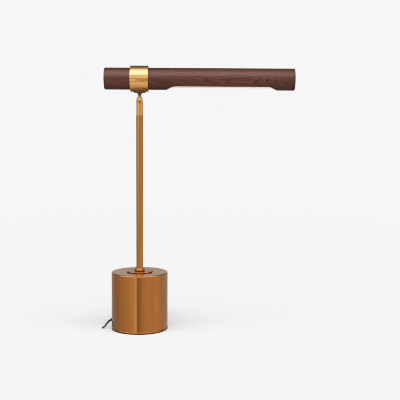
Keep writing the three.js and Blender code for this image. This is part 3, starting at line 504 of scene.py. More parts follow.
@once
def satin_brass():
    """Satin brass, fine-turned round the bar: a bright band from each light, softened across."""
    made, tree, shader = material(
        "Satin brass, fine-turned", Metallic=1.0, Anisotropic=0.8, Anisotropic_Rotation=0.25,
        Coat_Weight=1.0, Coat_Roughness=0.1, Coat_IOR=1.6,
    )
    tone = colours().satin_brass
    lines = noise(tree, in_mm(tree, 0.7, 30, 30), 2.0)
    cloud = noise(tree, in_mm(tree, 30, 30, 30), 2.0)
    feed(
        tree, shader,
        Base_Color=blend(tree, span(tree, cloud, 0.3, 0.7), shade(tone, 0.98), shade(tone, 1.02)),
        Roughness=span(tree, lines, 0.2, 0.8, 0.16, 0.2),
        Normal=bump(tree, lines, 0.004),
    )
    tangent = add(tree, "ShaderNodeTangent", direction_type="RADIAL", axis="X")
    feed(tree, shader, Tangent=tangent.outputs[0])
    return made


@once
def antique_brass_tube():
    """Antique brass of the drawn stem tube, polished lengthwise: faint upright streaks, sharp reflections."""
    made, tree, shader = material(
        "Antique brass, drawn and lacquered", Metallic=1.0, Coat_Weight=0.4, Coat_Roughness=0.06, Coat_IOR=1.5
    )
    tone = colours().tube_brass
    streaks = noise(tree, in_mm(tree, 1.2, 1.2, 90), 2.0)
    feed(
        tree, shader,
        Base_Color=blend(tree, span(tree, streaks, 0.3, 0.7), shade(tone, 0.95), shade(tone, 1.08)),
        Roughness=span(tree, streaks, 0.2, 0.8, 0.05, 0.1),
    )
    return made


@once
def satin_brass_upright():
    """Satin brass turned round the stem's axis, for post and knuckle: narrow upright reflections."""
    made, tree, shader = material(
        "Satin brass, turned upright", Metallic=1.0, Coat_Weight=0.5, Coat_Roughness=0.06, Coat_IOR=1.5
    )
    tone = shade(colours().satin_brass, 0.9)
    lines = noise(tree, in_mm(tree, 30, 30, 0.7), 2.0)
    feed(
        tree, shader,
        Base_Color=blend(tree, span(tree, lines, 0.3, 0.7), shade(tone, 0.97), shade(tone, 1.02)),
        Roughness=span(tree, lines, 0.2, 0.8, 0.06, 0.1),
    )
    return made


@once
def dark_brass():
    """Brass of the neck, coloured dark brown as painted shade, with a soft gloss; in the fork's slot the colour
    fades back to plain satin brass, so the slot shows lighter, and the brass is rougher there.
    """
    made, tree, shader = material("Brass, burnished dark", Metallic=1.0, Coat_Weight=0.4, Coat_Roughness=0.15)
    tone = colours().dark_brass
    cloud = noise(tree, in_mm(tree, 5, 5, 5), 3.0)
    rise = axes(tree)["Z"]
    # Painted shade: the neck's brass is darkened to a dark brown, for the shadow and dark reflections on it.
    dark = blend(tree, span(tree, cloud, 0.3, 0.7), shade(tone, 0.85), shade(tone, 1.15))
    pin = (low("hinge_screw").z + high("hinge_screw").z) / 2
    # Below the first height the tongue in the slot keeps plain satin brass; the painted shade is full from the
    # second height up.
    painted_shade_from, clear = pin + 3.5 * MM, pin + 6 * MM
    feed(
        tree, shader,
        Base_Color=blend(tree, span(tree, rise, painted_shade_from, clear), colours().satin_brass, dark),
        Roughness=span(tree, rise, painted_shade_from, clear, 0.5, 0.25),
    )
    return made


# The walnut's knots, in millimetres: how far along and up each lies, how wide it is, how far the rings bulge
KNOTS = ((-49, 0, 15, 12.0), (286, 5, 22, 14.0), (150, 2, 60, 3.0))
KNOT_RISE = 10 * MM  # how tall each is


def knot(tree, x, z, centre, rise, width, height):
    """How far the growth rings bulge round a knot, in millimetres, at a place on the bar."""
    along = maths(tree, "DIVIDE", maths(tree, "SUBTRACT", x, centre * MM), width * MM)
    across = maths(tree, "DIVIDE", maths(tree, "SUBTRACT", z, rise * MM), KNOT_RISE)
    away = maths(tree, "MULTIPLY", hypotenuse(tree, along, across), -1.0)
    return maths(tree, "MULTIPLY", maths(tree, "EXPONENT", away), height)


@once
def walnut():
    """Walnut, turned and oiled: dark reddish brown, long figure with ovals near the ends, open pores, satin."""
    fibre_tint = (*linear("#FFD8CA"), 1.0)
    made, tree, shader = material("Walnut, turned and oiled", Specular_IOR_Level=0.6, Specular_Tint=fibre_tint)
    tones = colours()
    place = axes(tree)
    x, y = place["X"], place["Y"]
    z = maths(tree, "SUBTRACT", place["Z"], bpy.context.scene.lamp_bar_axis)
    # Growth rings are layers across the bar's depth. They bulge at the knots, and wander along the bar.
    layer = maths(tree, "DIVIDE", maths(tree, "ADD", y, maths(tree, "DIVIDE", z, 3.5)), MM)
    for cells, reach in (((110, 40, 30), 14.0), ((26, 8, 6), 3.2)):
        about_zero = maths(tree, "SUBTRACT", noise(tree, in_mm(tree, *cells), 2.0), 0.5)
        layer = maths(tree, "ADD", layer, maths(tree, "MULTIPLY", about_zero, reach))
    layer = maths(tree, "SUBTRACT", layer, maths(tree, "DIVIDE", x, 16 * MM))  # the cut runs out of the grain
    for figures in KNOTS:
        layer = maths(tree, "SUBTRACT", layer, knot(tree, x, z, *figures))
    ring = maths(tree, "FRACT", maths(tree, "DIVIDE", layer, 2.8))  # 2.8 mm of growth a year
    late = add(tree, "ShaderNodeFloatCurve", {"Value": ring})
    curve = late.mapping.curves[0]
    curve.points[0].location = (0.0, 0.1)
    curve.points[1].location = (1.0, 0.15)
    curve.points.new(0.5, 0.25)
    curve.points.new(0.82, 1.0)
    late.mapping.update()
    fibre = noise(tree, in_mm(tree, 60, 2.0, 2.0), 4.0, 0.6)  # bundles of fibre, drawn 2 mm wide to show
    streak = noise(tree, in_mm(tree, 120, 9, 7), 3.0, 0.5)
    pores = span(tree, noise(tree, in_mm(tree, 9, 0.6, 0.6), 2.0), 0.6, 0.72)
    body = blend(tree, span(tree, streak, 0.35, 0.65), tones.walnut_mid, tones.walnut_light)
    body = blend(tree, span(tree, fibre, 0.35, 0.7, 0.0, 0.55), body, tones.walnut_dark)
    body = blend(tree, maths(tree, "MULTIPLY", late.outputs[0], 0.8), body, shade(tones.walnut_dark, 0.6))
    body = blend(tree, maths(tree, "MULTIPLY", pores, 0.5), body, shade(tones.walnut_dark, 0.6))
    painted_end_shade = span(tree, x, 240 * MM, 300 * MM)  # painted shade: the wood darkens towards the free end, where the room's light falls off, and is duller there
    body = blend(tree, maths(tree, "MULTIPLY", painted_end_shade, 0.45), body, tones.walnut_dark)
    relief = maths(tree, "SUBTRACT", maths(tree, "MULTIPLY", fibre, 0.4), pores)
    dull = maths(tree, "ADD", fibre, maths(tree, "MULTIPLY", late.outputs[0], 0.8))
    gloss = span(tree, dull, 0.3, 1.3, 0.29, 0.5)
    feed(
        tree, shader,
        Base_Color=body,
        Roughness=maths(tree, "ADD", maths(tree, "MULTIPLY", painted_end_shade, 0.07), gloss),
        Normal=bump(tree, relief, 0.03),
    )
    return made


@once
def opal_acrylic():
    """Opal acrylic, extruded and frosted, lit from behind: an even warm glow."""
    made, tree, shader = material("Opal acrylic, lit", Roughness=0.45, IOR=1.49, Emission_Strength=0.25)
    tone = colours().glow
    grain = noise(tree, in_mm(tree, 6, 6, 6), 2.0)
    feed(
        tree, shader,
        Base_Color=blend(tree, grain, shade(tone, 0.72), shade(tone, 0.76)),
        Emission_Color=blend(tree, span(tree, grain, 0.3, 0.7), shade(tone, 0.97), tone),
    )
    return made


def moulded(name, code, roughness, grain, depth, **fixed):
    """A moulded plastic or rubber with a fine spark-eroded grain, and slightly uneven gloss."""
    made, tree, shader = material(name, **fixed)
    tone = linear(code) if isinstance(code, str) else code
    cells = noise(tree, in_mm(tree, grain, grain, grain), 2.0)
    cloud = noise(tree, in_mm(tree, 18, 18, 18), 2.0)
    feed(
        tree, shader,
        Base_Color=blend(tree, span(tree, cloud, 0.3, 0.7), shade(tone, 0.85), shade(tone, 1.15)),
        Roughness=span(tree, cells, 0.2, 0.8, roughness - 0.06, roughness + 0.06),
        Normal=bump(tree, cells, depth),
    )
    return made


@once
def black_rubber():
    """Black synthetic rubber, compression moulded: almost no gloss."""
    return moulded("Black rubber, moulded", "#0E0D0C", 0.85, 0.8, 0.03, Specular_IOR_Level=0.25)


@once
def black_abs():
    """Black ABS, injection moulded with a fine grain: low, even gloss."""
    return moulded("Black ABS, grained", "#1D1D1F", 0.5, 0.7, 0.03, IOR=1.54)


@once
def black_pvc():
    """Black PVC, extruded over the cores: smooth with a soft sheen."""
    return moulded("Black PVC jacket", list(colours().pvc_black), 0.42, 1.6, 0.015, IOR=1.53)


@once
def silicone_wire():
    """Silicone insulation of the inner wires: dark red, matt."""
    return moulded("Silicone insulation, dark red", "#7A2A20", 0.6, 0.9, 0.01)


@once
def cast_iron():
    """Cast iron, shot-blasted and primed: grainy and dark."""
    return moulded("Cast iron, primed", "#2E2D2C", 0.75, 1.1, 0.12, Metallic=0.6)


def plated(name, code, roughness, cell):
    """A plated or milled metal with short fine scratches."""
    made, tree, shader = material(name, Metallic=1.0)
    tone = linear(code)
    marks = noise(tree, in_mm(tree, cell, cell, cell * 4), 3.0)
    feed(
        tree, shader,
        Base_Color=blend(tree, span(tree, marks, 0.3, 0.7), shade(tone, 0.9), shade(tone, 1.06)),
        Roughness=span(tree, marks, 0.2, 0.8, roughness - 0.05, roughness + 0.08),
        Normal=bump(tree, marks, 0.01),
    )
    return made


@once
def zinc_steel():
    """Zinc-plated steel: cool grey, fairly bright, with fine tool marks."""
    return plated("Steel, zinc plated", "#B9B9B6", 0.3, 0.6)


@once
def nickel_brass():
    """Nickel-plated brass of the plug's blades: warm grey and bright."""
    return plated("Brass, nickel plated", "#C9C3B6", 0.22, 0.8)


@once
def aluminium():
    """Aluminium, extruded: pale, with marks along the die."""
    return plated("Aluminium, extruded", "#C8CACC", 0.36, 0.5)


@once
def green_board():
    """Glass-epoxy circuit board under a green solder mask: glossy, with faint copper below."""
    made, tree, shader = material("Circuit board, green mask", Roughness=0.32, IOR=1.52)
    tracks = noise(tree, in_mm(tree, 2.2, 2.2, 2.2), 1.0)
    covered = span(tree, tracks, 0.48, 0.52)
    feed(tree, shader, Base_Color=blend(tree, covered, linear("#1C4A31"), linear("#2B6443")))
    return made


@once
def white_board():
    """Aluminium-backed board under a white solder mask: an even off-white with faint tracks."""
    made, tree, shader = material("Light board, white mask", Roughness=0.4, IOR=1.52)
    tracks = noise(tree, in_mm(tree, 3, 3, 3), 1.0)
    covered = span(tree, tracks, 0.48, 0.52)
    feed(tree, shader, Base_Color=blend(tree, covered, linear("#E9E7DF"), linear("#F2F0EA")))
    return made


@once
def nylon_band():
    """Nylon hook and loop band: a soft fuzz of loops over a plain weave, dull black."""
    made, tree, shader = material(
        "Nylon hook and loop", Roughness=0.85, Sheen_Weight=0.5, Sheen_Roughness=0.4
    )
    loops = noise(tree, in_mm(tree, 0.5, 0.5, 0.5), 3.0, 0.7)
    feed(
        tree, shader,
        Base_Color=blend(tree, loops, linear("#0D0D0E"), linear("#2A2A2C")),
        Normal=bump(tree, loops, 0.2),
    )
    return made


# Stage and camera


STANDS_AT = (0.1217, -1.6074, 0.4053)
LOOKS_DOWN = 0.088  # radians
ROLLED = 0.006  # radians


def make_camera():
    """The photograph's view: a 72 mm lens, 1.6 m away, looking down by 5 degrees and rolled by 0.3 degrees."""
    data = bpy.data.cameras.new("camera")
    data.lens = 72
    data.sensor_width = 36
    data.clip_start = 0.05
    data.clip_end = 100
    camera = bpy.data.objects.new("camera", data)
    bpy.context.collection.objects.link(camera)
    tilt = Matrix.Rotation(QUARTER - LOOKS_DOWN, 4, "X") @ Matrix.Rotation(ROLLED, 4, "Z")
    camera.matrix_world = Matrix.Translation(STANDS_AT) @ tilt
    bpy.context.scene.camera = camera


# Brightness of the room just under the horizon, by degrees round it: 0 is towards the camera, 90 to its right.
# A tall panel stands on the left and ends sharply at -8, a dark gap follows, then a softer panel on the right.
ROUND = (
    (-180, 0.5), (-165, 0.42), (-131, 0.46), (-106, 0.5), (-81, 0.62), (-61, 0.72), (-42, 0.82), (-29, 0.91),
    (-18, 1.02), (-13, 1.3), (-10.5, 1.75), (-9.4, 1.75), (-8, 0.42), (-1, 0.44), (6, 0.52), (15, 0.72),
    (26, 0.86), (42, 0.9), (58, 0.83), (78, 0.92), (100, 0.8), (120, 0.7), (137, 0.58), (159, 0.45), (180, 0.5),
)
# The same at the horizon, where the left panel is broad and soft and the gap after it is less dark.
LEVEL = (
    (-180, 0.45), (-150, 0.42), (-110, 0.42), (-84, 0.6), (-64, 0.95), (-50, 1.4), (-38, 1.6), (-28, 1.45),
    (-20, 0.8), (-14, 0.55), (-4, 0.66), (8, 0.78), (20, 0.88), (40, 0.9), (56, 1.0), (75, 0.95), (95, 0.75),
    (115, 0.55), (140, 0.42), (160, 0.42), (180, 0.45),
)
# Brightness over and under the lamp, by degrees up from the camera's direction: 90 is overhead, 180 behind.
# A large soft box hangs overhead in front, and the wall behind is dark but for the backdrop's foot.
OVER = (
    (-180, 0.55), (-165, 0.4), (-144, 0.18), (-123, 0.13), (-107, 0.28), (-94, 0.5), (-76, 0.66), (-65, 0.78),
    (-54, 0.96), (-44, 1.1), (-36, 1.0), (-27, 0.72), (-10, 0.8), (3, 1.25), (10, 1.32), (18, 1.27), (26, 1.15),
    (30, 1.2), (34, 3.7), (70, 3.7), (80, 2.2), (88, 1.15), (98, 0.64), (110, 0.3), (124, 0.17), (140, 0.15),
    (160, 0.36), (172, 0.58), (180, 0.55),
)
BRIGHTEST = 3.8  # above every entry of the three tables
BACKDROP = 1.53  # what the camera sees behind the lamp
# The tone curve: how bright a thing is seen, and how bright it is shown
TONES = (
    (0.2, 0.2), (0.4, 0.4), (0.55, 0.525), (0.7, 0.62), (0.85, 0.69), (1.1, 0.79), (1.3, 0.86),
    (BACKDROP, 0.922), (1.9, 0.955), (2.6, 0.98), (3.6, 0.994),
)
WHITE = 5.0  # the tone curve's upper end


def make_ramp(tree, angle, levels):
    """The room's colour by an angle: shade is warm, and the brightest panels are a little cool."""
    turn = span(tree, angle, -math.pi, math.pi)
    ramp = add(tree, "ShaderNodeValToRGB", {"Fac": turn})
    points = ramp.color_ramp.elements
    for degrees, _ in levels[2:]:
        points.new(0.5 + degrees / 360)
    for point, (degrees, level) in zip(points, levels):
        point.position = 0.5 + degrees / 360
        cool = min(1.0, max(0.0, (level - 0.85) / 2.0))
        tint = (1.0, 0.92 + 0.08 * cool, 0.8 + 0.25 * cool)
        point.color = (*(level * t / BRIGHTEST for t in tint), 1)
    return ramp.outputs["Color"]


def make_world():
    """A pale room. The camera sees it plain; the lamp is lit by and mirrors the panels that stand round it."""
    world = bpy.data.worlds.new("studio")
    bpy.context.scene.world = world
    world.use_nodes = True
    tree = world.node_tree
    tree.nodes.clear()
    split = add(tree, "ShaderNodeSeparateXYZ", {0: add(tree, "ShaderNodeTexCoord").outputs["Generated"]})
    x, y, z = (split.outputs[axis] for axis in "XYZ")
    front = maths(tree, "MULTIPLY", y, -1.0)
    azimuth = maths(tree, "ARCTAN2", x, front)
    around = make_ramp(tree, azimuth, ROUND)
    over = make_ramp(tree, maths(tree, "ARCTAN2", z, front), OVER)
    rise = maths(tree, "ARCSINE", z)
    lift = span(tree, rise, math.radians(-8), math.radians(-2))
    around = blend(tree, lift, around, make_ramp(tree, azimuth, LEVEL))
    above = span(tree, rise, math.radians(2.7), math.radians(4.7))
    below = span(tree, rise, math.radians(-18), math.radians(-30))
    share = maths(tree, "MAXIMUM", above, below)
    mirrored = blend(tree, share, around, over)
    room = add(tree, "ShaderNodeBackground", {"Color": mirrored, "Strength": BRIGHTEST})
    plain = add(tree, "ShaderNodeBackground", {"Color": (1, 1, 1, 1), "Strength": BACKDROP})
    camera_ray = add(tree, "ShaderNodeLightPath").outputs["Is Camera Ray"]
    mix = add(tree, "ShaderNodeMixShader", {0: camera_ray, 1: room.outputs[0], 2: plain.outputs[0]})
    add(tree, "ShaderNodeOutputWorld", {"Surface": mix.outputs[0]})


def develop():
    """The picture's tone curve: straight in the darker half, then a soft shoulder, as a camera's own."""
    view = bpy.context.scene.view_settings
    view.view_transform = "Standard"
    view.use_curve_mapping = True
    mapping = view.curve_mapping
    mapping.white_level = (WHITE, WHITE, WHITE)
    curve = mapping.curves[3]
    curve.points[0].location = (0.0, 0.0)
    curve.points[1].location = (1.0, 1.0)
    for seen, shown in TONES:
        curve.points.new(seen / WHITE, shown)
    mapping.update()
    bpy.context.scene.cycles.filter_width = 1.1  # in pixels: as crisp as the photograph


def make_floor():
    """A pale matt floor that fades into the room a few metres out."""
    mesh = bmesh.new()
    bmesh.ops.create_circle(mesh, cap_ends=True, segments=96, radius=6)
    floor = as_object("floor", mesh)
    floor.visible_glossy = False
    made, tree, shader = material("Studio floor, matt paint", Roughness=1.0, Specular_IOR_Level=0.1)
    grain = noise(tree, in_mm(tree, 40, 40, 40), 2.0)
    tone = list(colours().floor)
    feed(tree, shader, Base_Color=blend(tree, grain, shade(tone, 0.995), tone))
    place = add(tree, "ShaderNodeTexCoord").outputs["Object"]
    away = add(tree, "ShaderNodeVectorMath", {0: place}, operation="LENGTH").outputs["Value"]
    clear = add(tree, "ShaderNodeBsdfTransparent")
    faded = add(tree, "ShaderNodeMixShader", {
        0: span(tree, away, 0.7, 2.6), 1: shader.outputs[0], 2: clear.outputs[0]})
    output = next(node for node in tree.nodes if node.type == "OUTPUT_MATERIAL")
    tree.links.new(faded.outputs[0], output.inputs["Surface"])
    floor.data.materials.append(made)


class LAMP_OT_stage(bpy.types.Operator):
    """Sets the camera, the room with its light, the floor and the tone curve"""

    bl_idname = "lamp.stage"
    bl_label = "Stage"

    def execute(self, context):
        make_camera()
        make_world()
        make_floor()
        develop()
        return {"FINISHED"}


# Lead

# The route's points, in millimetres, as the solids have them
LEAD_ROUTE = [
    (-59.61, 8.38, 15.6), (-61.8, 8.5, 14.7), (-64.6, 6.9, 12.5), (-66.6, 1.5, 10.3), (-67.1, -5.8, 10.3),
    (-69, -9.9, 7.2), (-72.2, -10.1, 3.5), (-74.8, -7.3, 1.6), (-75.7, -3, 1.6), (-72.2, 4.8, 1.6),
    (-72.7, 12.1, 1.6), (-72.1, 25.5, 1.6), (-70.4, 39.9, 1.6), (-68, 54.1, 1.6), (-64.5, 64, 1.6),
    (-57.5, 72, 1.9), (-49.5, 76.2, 2.2), (-42.5, 77.3, 2.4), (-39.9, 77.3, 2.4),
]
TAIL_ROUTE = [
    (-34.1, 77.3, 11.7), (-31.5, 77.3, 11.7), (-25.5, 76.9, 11), (-19, 75.4, 9.2), (-12, 72.6, 6.6),
    (-5, 69.2, 4.4), (2, 65.8, 3.4), (8.4, 63.1, 4), (13.2, 62.2, 5.9), (16.9, 63.8, 8.8), (18.7, 66.6, 11.1),
    (19, 69, 12), (19, 71.6, 12),
]
COIL = {"x": -37, "y": 99, "radius": 15.5, "pitch": 3.1, "turns": 4, "layers": 4, "lift": 1.1, "steps": 48}


def coil_points(lead_radius):
    """The coil's centreline in millimetres: each layer spirals in or out, and climbs in the half turn where it
    reverses."""
    outer = COIL["radius"] + COIL["pitch"] * COIL["turns"] / 2
    bottom = COIL["lift"] + lead_radius
    points = []
    for i in range(COIL["turns"] * COIL["layers"] * COIL["steps"] + 1):
        turn = i / COIL["steps"]
        layer = min(COIL["layers"] - 1, int(turn / COIL["turns"]))
        along = turn - layer * COIL["turns"]
        inwards = along if layer % 2 == 0 else COIL["turns"] - along
        nearest = round(turn / COIL["turns"])
        reversal = (turn - nearest * COIL["turns"]) * 2 if 0 < nearest < COIL["layers"] else 1
        climb = nearest - 0.5 + reversal if abs(reversal) < 0.5 else layer
        angle = 2 * math.pi * turn - QUARTER
        radius = outer - COIL["pitch"] * inwards
        points.append(Vector((COIL["x"] + radius * math.cos(angle), COIL["y"] + radius * math.sin(angle),
                              bottom + COIL["pitch"] * climb)))
    return points


def smooth_path(points, step):
    """A centripetal curve through the points, sampled about every step."""
    points = [Vector(p) for p in points]
    points = [2 * points[0] - points[1], *points, 2 * points[-1] - points[-2]]
    path = []
    for p0, p1, p2, p3 in zip(points, points[1:], points[2:], points[3:]):
        t1 = (p1 - p0).length ** 0.5
        t2 = t1 + (p2 - p1).length ** 0.5
        t3 = t2 + (p3 - p2).length ** 0.5
        count = max(1, round((p2 - p1).length / step))
        for k in range(count):
            t = t1 + (t2 - t1) * k / count
            a1 = p0.lerp(p1, t / t1)
            a2 = p1.lerp(p2, (t - t1) / (t2 - t1))
            a3 = p2.lerp(p3, (t - t2) / (t3 - t2))
            b1 = a1.lerp(a2, t / t2)
            b2 = a2.lerp(a3, (t - t1) / (t3 - t1))
            path.append(b1.lerp(b2, (t - t1) / (t2 - t1)))
    return [*path, points[-2]]


def lead_tree():
    """Geometry nodes that sweep a round jacket along a path."""
    tree, given, keys = node_group("Round jacket on a path", ("Path", "Geometry"), ("Diameter", "Float"),
                                   ("Sides", "Int"), ("Jacket", "Material"))
    radius = maths(tree, "DIVIDE", given.outputs["Diameter"], 2.0)
    section = add(tree, "GeometryNodeCurvePrimitiveCircle", {
        "Resolution": given.outputs["Sides"], "Radius": radius})
    line = add(tree, "GeometryNodeMeshToCurve", {"Mesh": given.outputs["Path"]})
    swept = add(tree, "GeometryNodeCurveToMesh", {
        "Curve": line.outputs[0], "Profile Curve": section.outputs["Curve"], "Fill Caps": True})
    end_group(tree, swept.outputs[0], given.outputs["Jacket"])
    return tree, keys


class LAMP_OT_lead(bpy.types.Operator):
    """Lays the lead from the drum to its coil and on to the adapter"""

    bl_idname = "lamp.lead"
    bl_label = "Lead"

    def execute(self, context):
        across = sizes().lead_diameter
        coil = coil_points(across / MM / 2)
        path = smooth_path(LEAD_ROUTE, 1.0) + coil + smooth_path(TAIL_ROUTE, 1.0)
        path = [p * MM for p in path]
        mesh = bpy.data.meshes.new("lead")
        mesh.from_pydata(path, [(k, k + 1) for k in range(len(path) - 1)], [])
        lead = bpy.data.objects.new("lead", mesh)
        context.collection.objects.link(lead)
        sides = 14
        by_nodes(lead, *lead_tree(), (across, sides, black_pvc()))
        lead.data.shade_smooth()
        lead.data.set_sharp_from_angle(angle=math.radians(40))
        settle(lead, "stand", black_pvc(), "cord", "cord_lead", "cord_coil", "cord_tail")
        return {"FINISHED"}


# Drum, foot and touch disc


class LAMP_OT_drum(bpy.types.Operator):
    """Spins the brass drum and turns its bottom plate"""

    bl_idname = "lamp.drum"
    bl_label = "Drum"

    def execute(self, context):
        size = sizes()
        bottom, top = low("base_shell").z, high("base_shell").z
        outer, inner = size.drum_radius, size.drum_radius - size.drum_wall
        roof = top - size.drum_wall
        shell = turned("drum", rounded([
            (inner, bottom, 0), (outer, bottom, 0.25 * MM), (outer, top, size.drum_edge),
            (ROD_HOLE, top, 0.2 * MM), (ROD_HOLE, roof, 0), (inner, roof, size.drum_wall / 3)], steps=8))
        settle(shell, "stand", antique_brass(), "brass_antique", "base_shell")
        low_face, high_face = low("base_plate").z, high("base_plate").z
        radius = half_depth("base_plate")
        plate = turned("bottom_plate", rounded([
            (0, low_face, 0), (radius, low_face, size.plate_edge), (radius, high_face, size.plate_edge),
            (0, high_face, 0)]))
        settle(plate, "stand", antique_brass(), "brass_antique", "base_plate")
        return {"FINISHED"}


class LAMP_OT_foot(bpy.types.Operator):
    """Moulds the rubber foot with its anti-slip grooves"""

    bl_idname = "lamp.foot"
    bl_label = "Foot"

    def execute(self, context):
        # The foot is drawn wider than its solid and laps up the plate's bevel: a black band that also stands in
        # for the contact shadow under the drum.
        radius, top = half_depth("foot_pad") + sizes().foot_lip, high("foot_pad").z
        corners = [(0, 0, 0)]
        deep, wide, break_edge = 0.6 * MM, 2 * MM, 0.15 * MM
        for groove in (18 * MM, 30 * MM, 42 * MM):
            corners += [(groove, 0, break_edge), (groove, deep, 0), (groove + wide, deep, 0),
                        (groove + wide, 0, break_edge)]
        lip = 0.5 * MM  # laps over the bevel of the base plate: black rubber where the bevel would lie in shade, as painted shade
        corners += [(radius, 0, 0.25 * MM), (radius, top + lip, 0), (radius - lip, top, 0), (0, top, 0)]
        foot = turned("foot", rounded(corners, steps=4))
        settle(foot, "stand", black_rubber(), "rubber", "foot_pad")
        return {"FINISHED"}


class LAMP_OT_touch_disc(bpy.types.Operator):
    """Turns the touch disc and the rubber ring under it"""

    bl_idname = "lamp.touch_disc"
    bl_label = "Touch disc"

    def execute(self, context):
        for name, node, edge, finish, slot in (
            ("touch_disc", "touch_disc", sizes().disc_edge, antique_brass_flat(), "brass_antique"),
            ("touch_gasket", "touch_ring", 0.15 * MM, black_rubber(), "rubber"),
        ):
            bottom, top, radius = low(node).z, high(node).z, half_depth(node)
            disc = turned(name, rounded([
                (ROD_HOLE, bottom, 0), (radius, bottom, edge / 2), (radius, top, edge), (ROD_HOLE, top, 0)]))
            settle(disc, "stand", finish, slot, node)
        return {"FINISHED"}


# Stem and knuckle


class LAMP_OT_stem(bpy.types.Operator):
    """Draws the stem tube and turns the collar at its foot"""

    bl_idname = "lamp.stem"
    bl_label = "Stem"

    def execute(self, context):
        bottom, top, radius = low("stem_tube").z, high("stem_tube").z, half_depth("stem_tube")
        bore = radius - sizes().stem_wall
        stem = turned("stem", rounded([
            (bore, bottom, 0), (radius, bottom, 0), (radius, top, 0.25 * MM), (bore, top, 0)]), sides=64)
        settle(stem, "stand", antique_brass_tube(), "brass_antique", "stem_tube")
        foot = low("stem_collar").z
        bead, half, neck = half_depth("stem_collar"), 1.7 * MM, 8.4 * MM
        middle = foot + 2.3 * MM
        flare_top, slim, hole = high("stem_collar").z, 7.9 * MM, radius + 0.3 * MM
        fillet = bead - half - slim
        flare = [Vector((slim + fillet * (1 - math.sin(t)), middle + half + fillet * (1 - math.cos(t))))
                 for t in (QUARTER * k / 8 for k in range(1, 9))]
        flare += [Vector((slim, middle + half + 1.3 * fillet)), Vector((slim, flare_top))]
        chamfer = 0.2 * MM
        outline = [Vector((hole, foot)), Vector((neck - chamfer, foot)), Vector((neck, foot + chamfer)),
                   Vector((neck, middle - half)), *arc((bead - half, middle), half, -QUARTER, QUARTER, 14),
                   *flare, Vector((hole, flare_top))]
        collar = turned("stem_foot_collar", outline, sides=96, smooth=50)
        settle(collar, "stand", antique_brass_flat(), "brass_antique", "stem_collar")
        return {"FINISHED"}


class LAMP_OT_knuckle(bpy.types.Operator):
    """Turns the swivel post and mills the slotted knuckle with its hinge screw"""

    bl_idname = "lamp.knuckle"
    bl_label = "Knuckle"

    def execute(self, context):
        size = sizes()
        radius, edge = half_depth("knuckle_fork"), 0.55 * MM
        girth = radius + 0.4 * MM  # the knuckle is nearly as wide as the stem under it
        slim, bore = radius - 0.4 * MM, 3.6 * MM
        spigot, split = low("swivel_post").z, high("swivel_post").z
        shoulder = high("stem_tube").z + 0.1 * MM
        post = turned("swivel_post_turned", rounded([
            (bore, spigot, 0), (slim, spigot, 0.2 * MM), (slim, shoulder, 0), (girth, shoulder, 0.25 * MM),
            (girth, split, edge), (bore, split, 0)]), sides=96)
        settle(post, "stand", satin_brass_upright(), "brass_satin", "swivel_post")
        foot, pin = split + 0.1 * MM, bpy.context.scene.lamp_pin
        stub, spindle, wire = low("knuckle_fork").z, 3.5 * MM, 1.8 * MM
        outline = rounded([(wire, stub, 0), (spindle, stub, 0.3 * MM), (spindle, foot, 0),
                           (girth, foot, edge), (girth, pin - 0.4 * MM, 0)], steps=4)
        dome = arc((0, pin), radius, 0, QUARTER, 16)[:-1]
        outline += [Vector((spot.x * girth / radius, spot.y)) for spot in dome]
        outline += [Vector((0, pin + radius)), Vector((0, pin - 4 * MM)), Vector((wire, pin - 4 * MM))]
        fork = turned("fork", outline, sides=96)
        half, past = size.slot_width / 2, 9 * MM  # the tools reach past the knuckle
        opening = prism("opening", [(-half, -past), (half, -past), (half, past), (-half, past)],
                        size.slot_depth + radius + 2 * MM, Matrix.Translation((0, 0, pin - size.slot_depth)))
        shaped(fork, "DIFFERENCE", opening, cross_pin("bore", PIN_HOLE, -past, past, pin),
               cross_pin("recess", 2.7 * MM, 4.0 * MM, past, pin))
        softened(fork, 0.22 * MM)
        settle(fork, "swivel", satin_brass_upright(), "brass_satin", "knuckle_fork")
        self.screw(pin)
        return {"FINISHED"}

    def screw(self, pin):
        """Hinge screw with a hexagonal socket."""
        shaft, head = 1.5 * MM, 2.6 * MM
        tip, under, face = low("hinge_screw").x, 4.1 * MM, high("hinge_screw").x
        screw = turned("hinge_pin", rounded([
            (0, tip, 0), (shaft, tip, 0.3 * MM), (shaft, under, 0), (head, under, 0.1 * MM),
            (head, face, 0.3 * MM), (0, face, 0)]), sides=48, about=along_x(0, 0, pin))
        socket = cylinder("socket", 1.25 * MM, 2 * MM, along_x(face - 1.1 * MM, 0, pin), sides=6)
        shaped(screw, "DIFFERENCE", socket)
        settle(screw, "swivel", zinc_steel(), "steel", "hinge_screw")


# Neck and ring


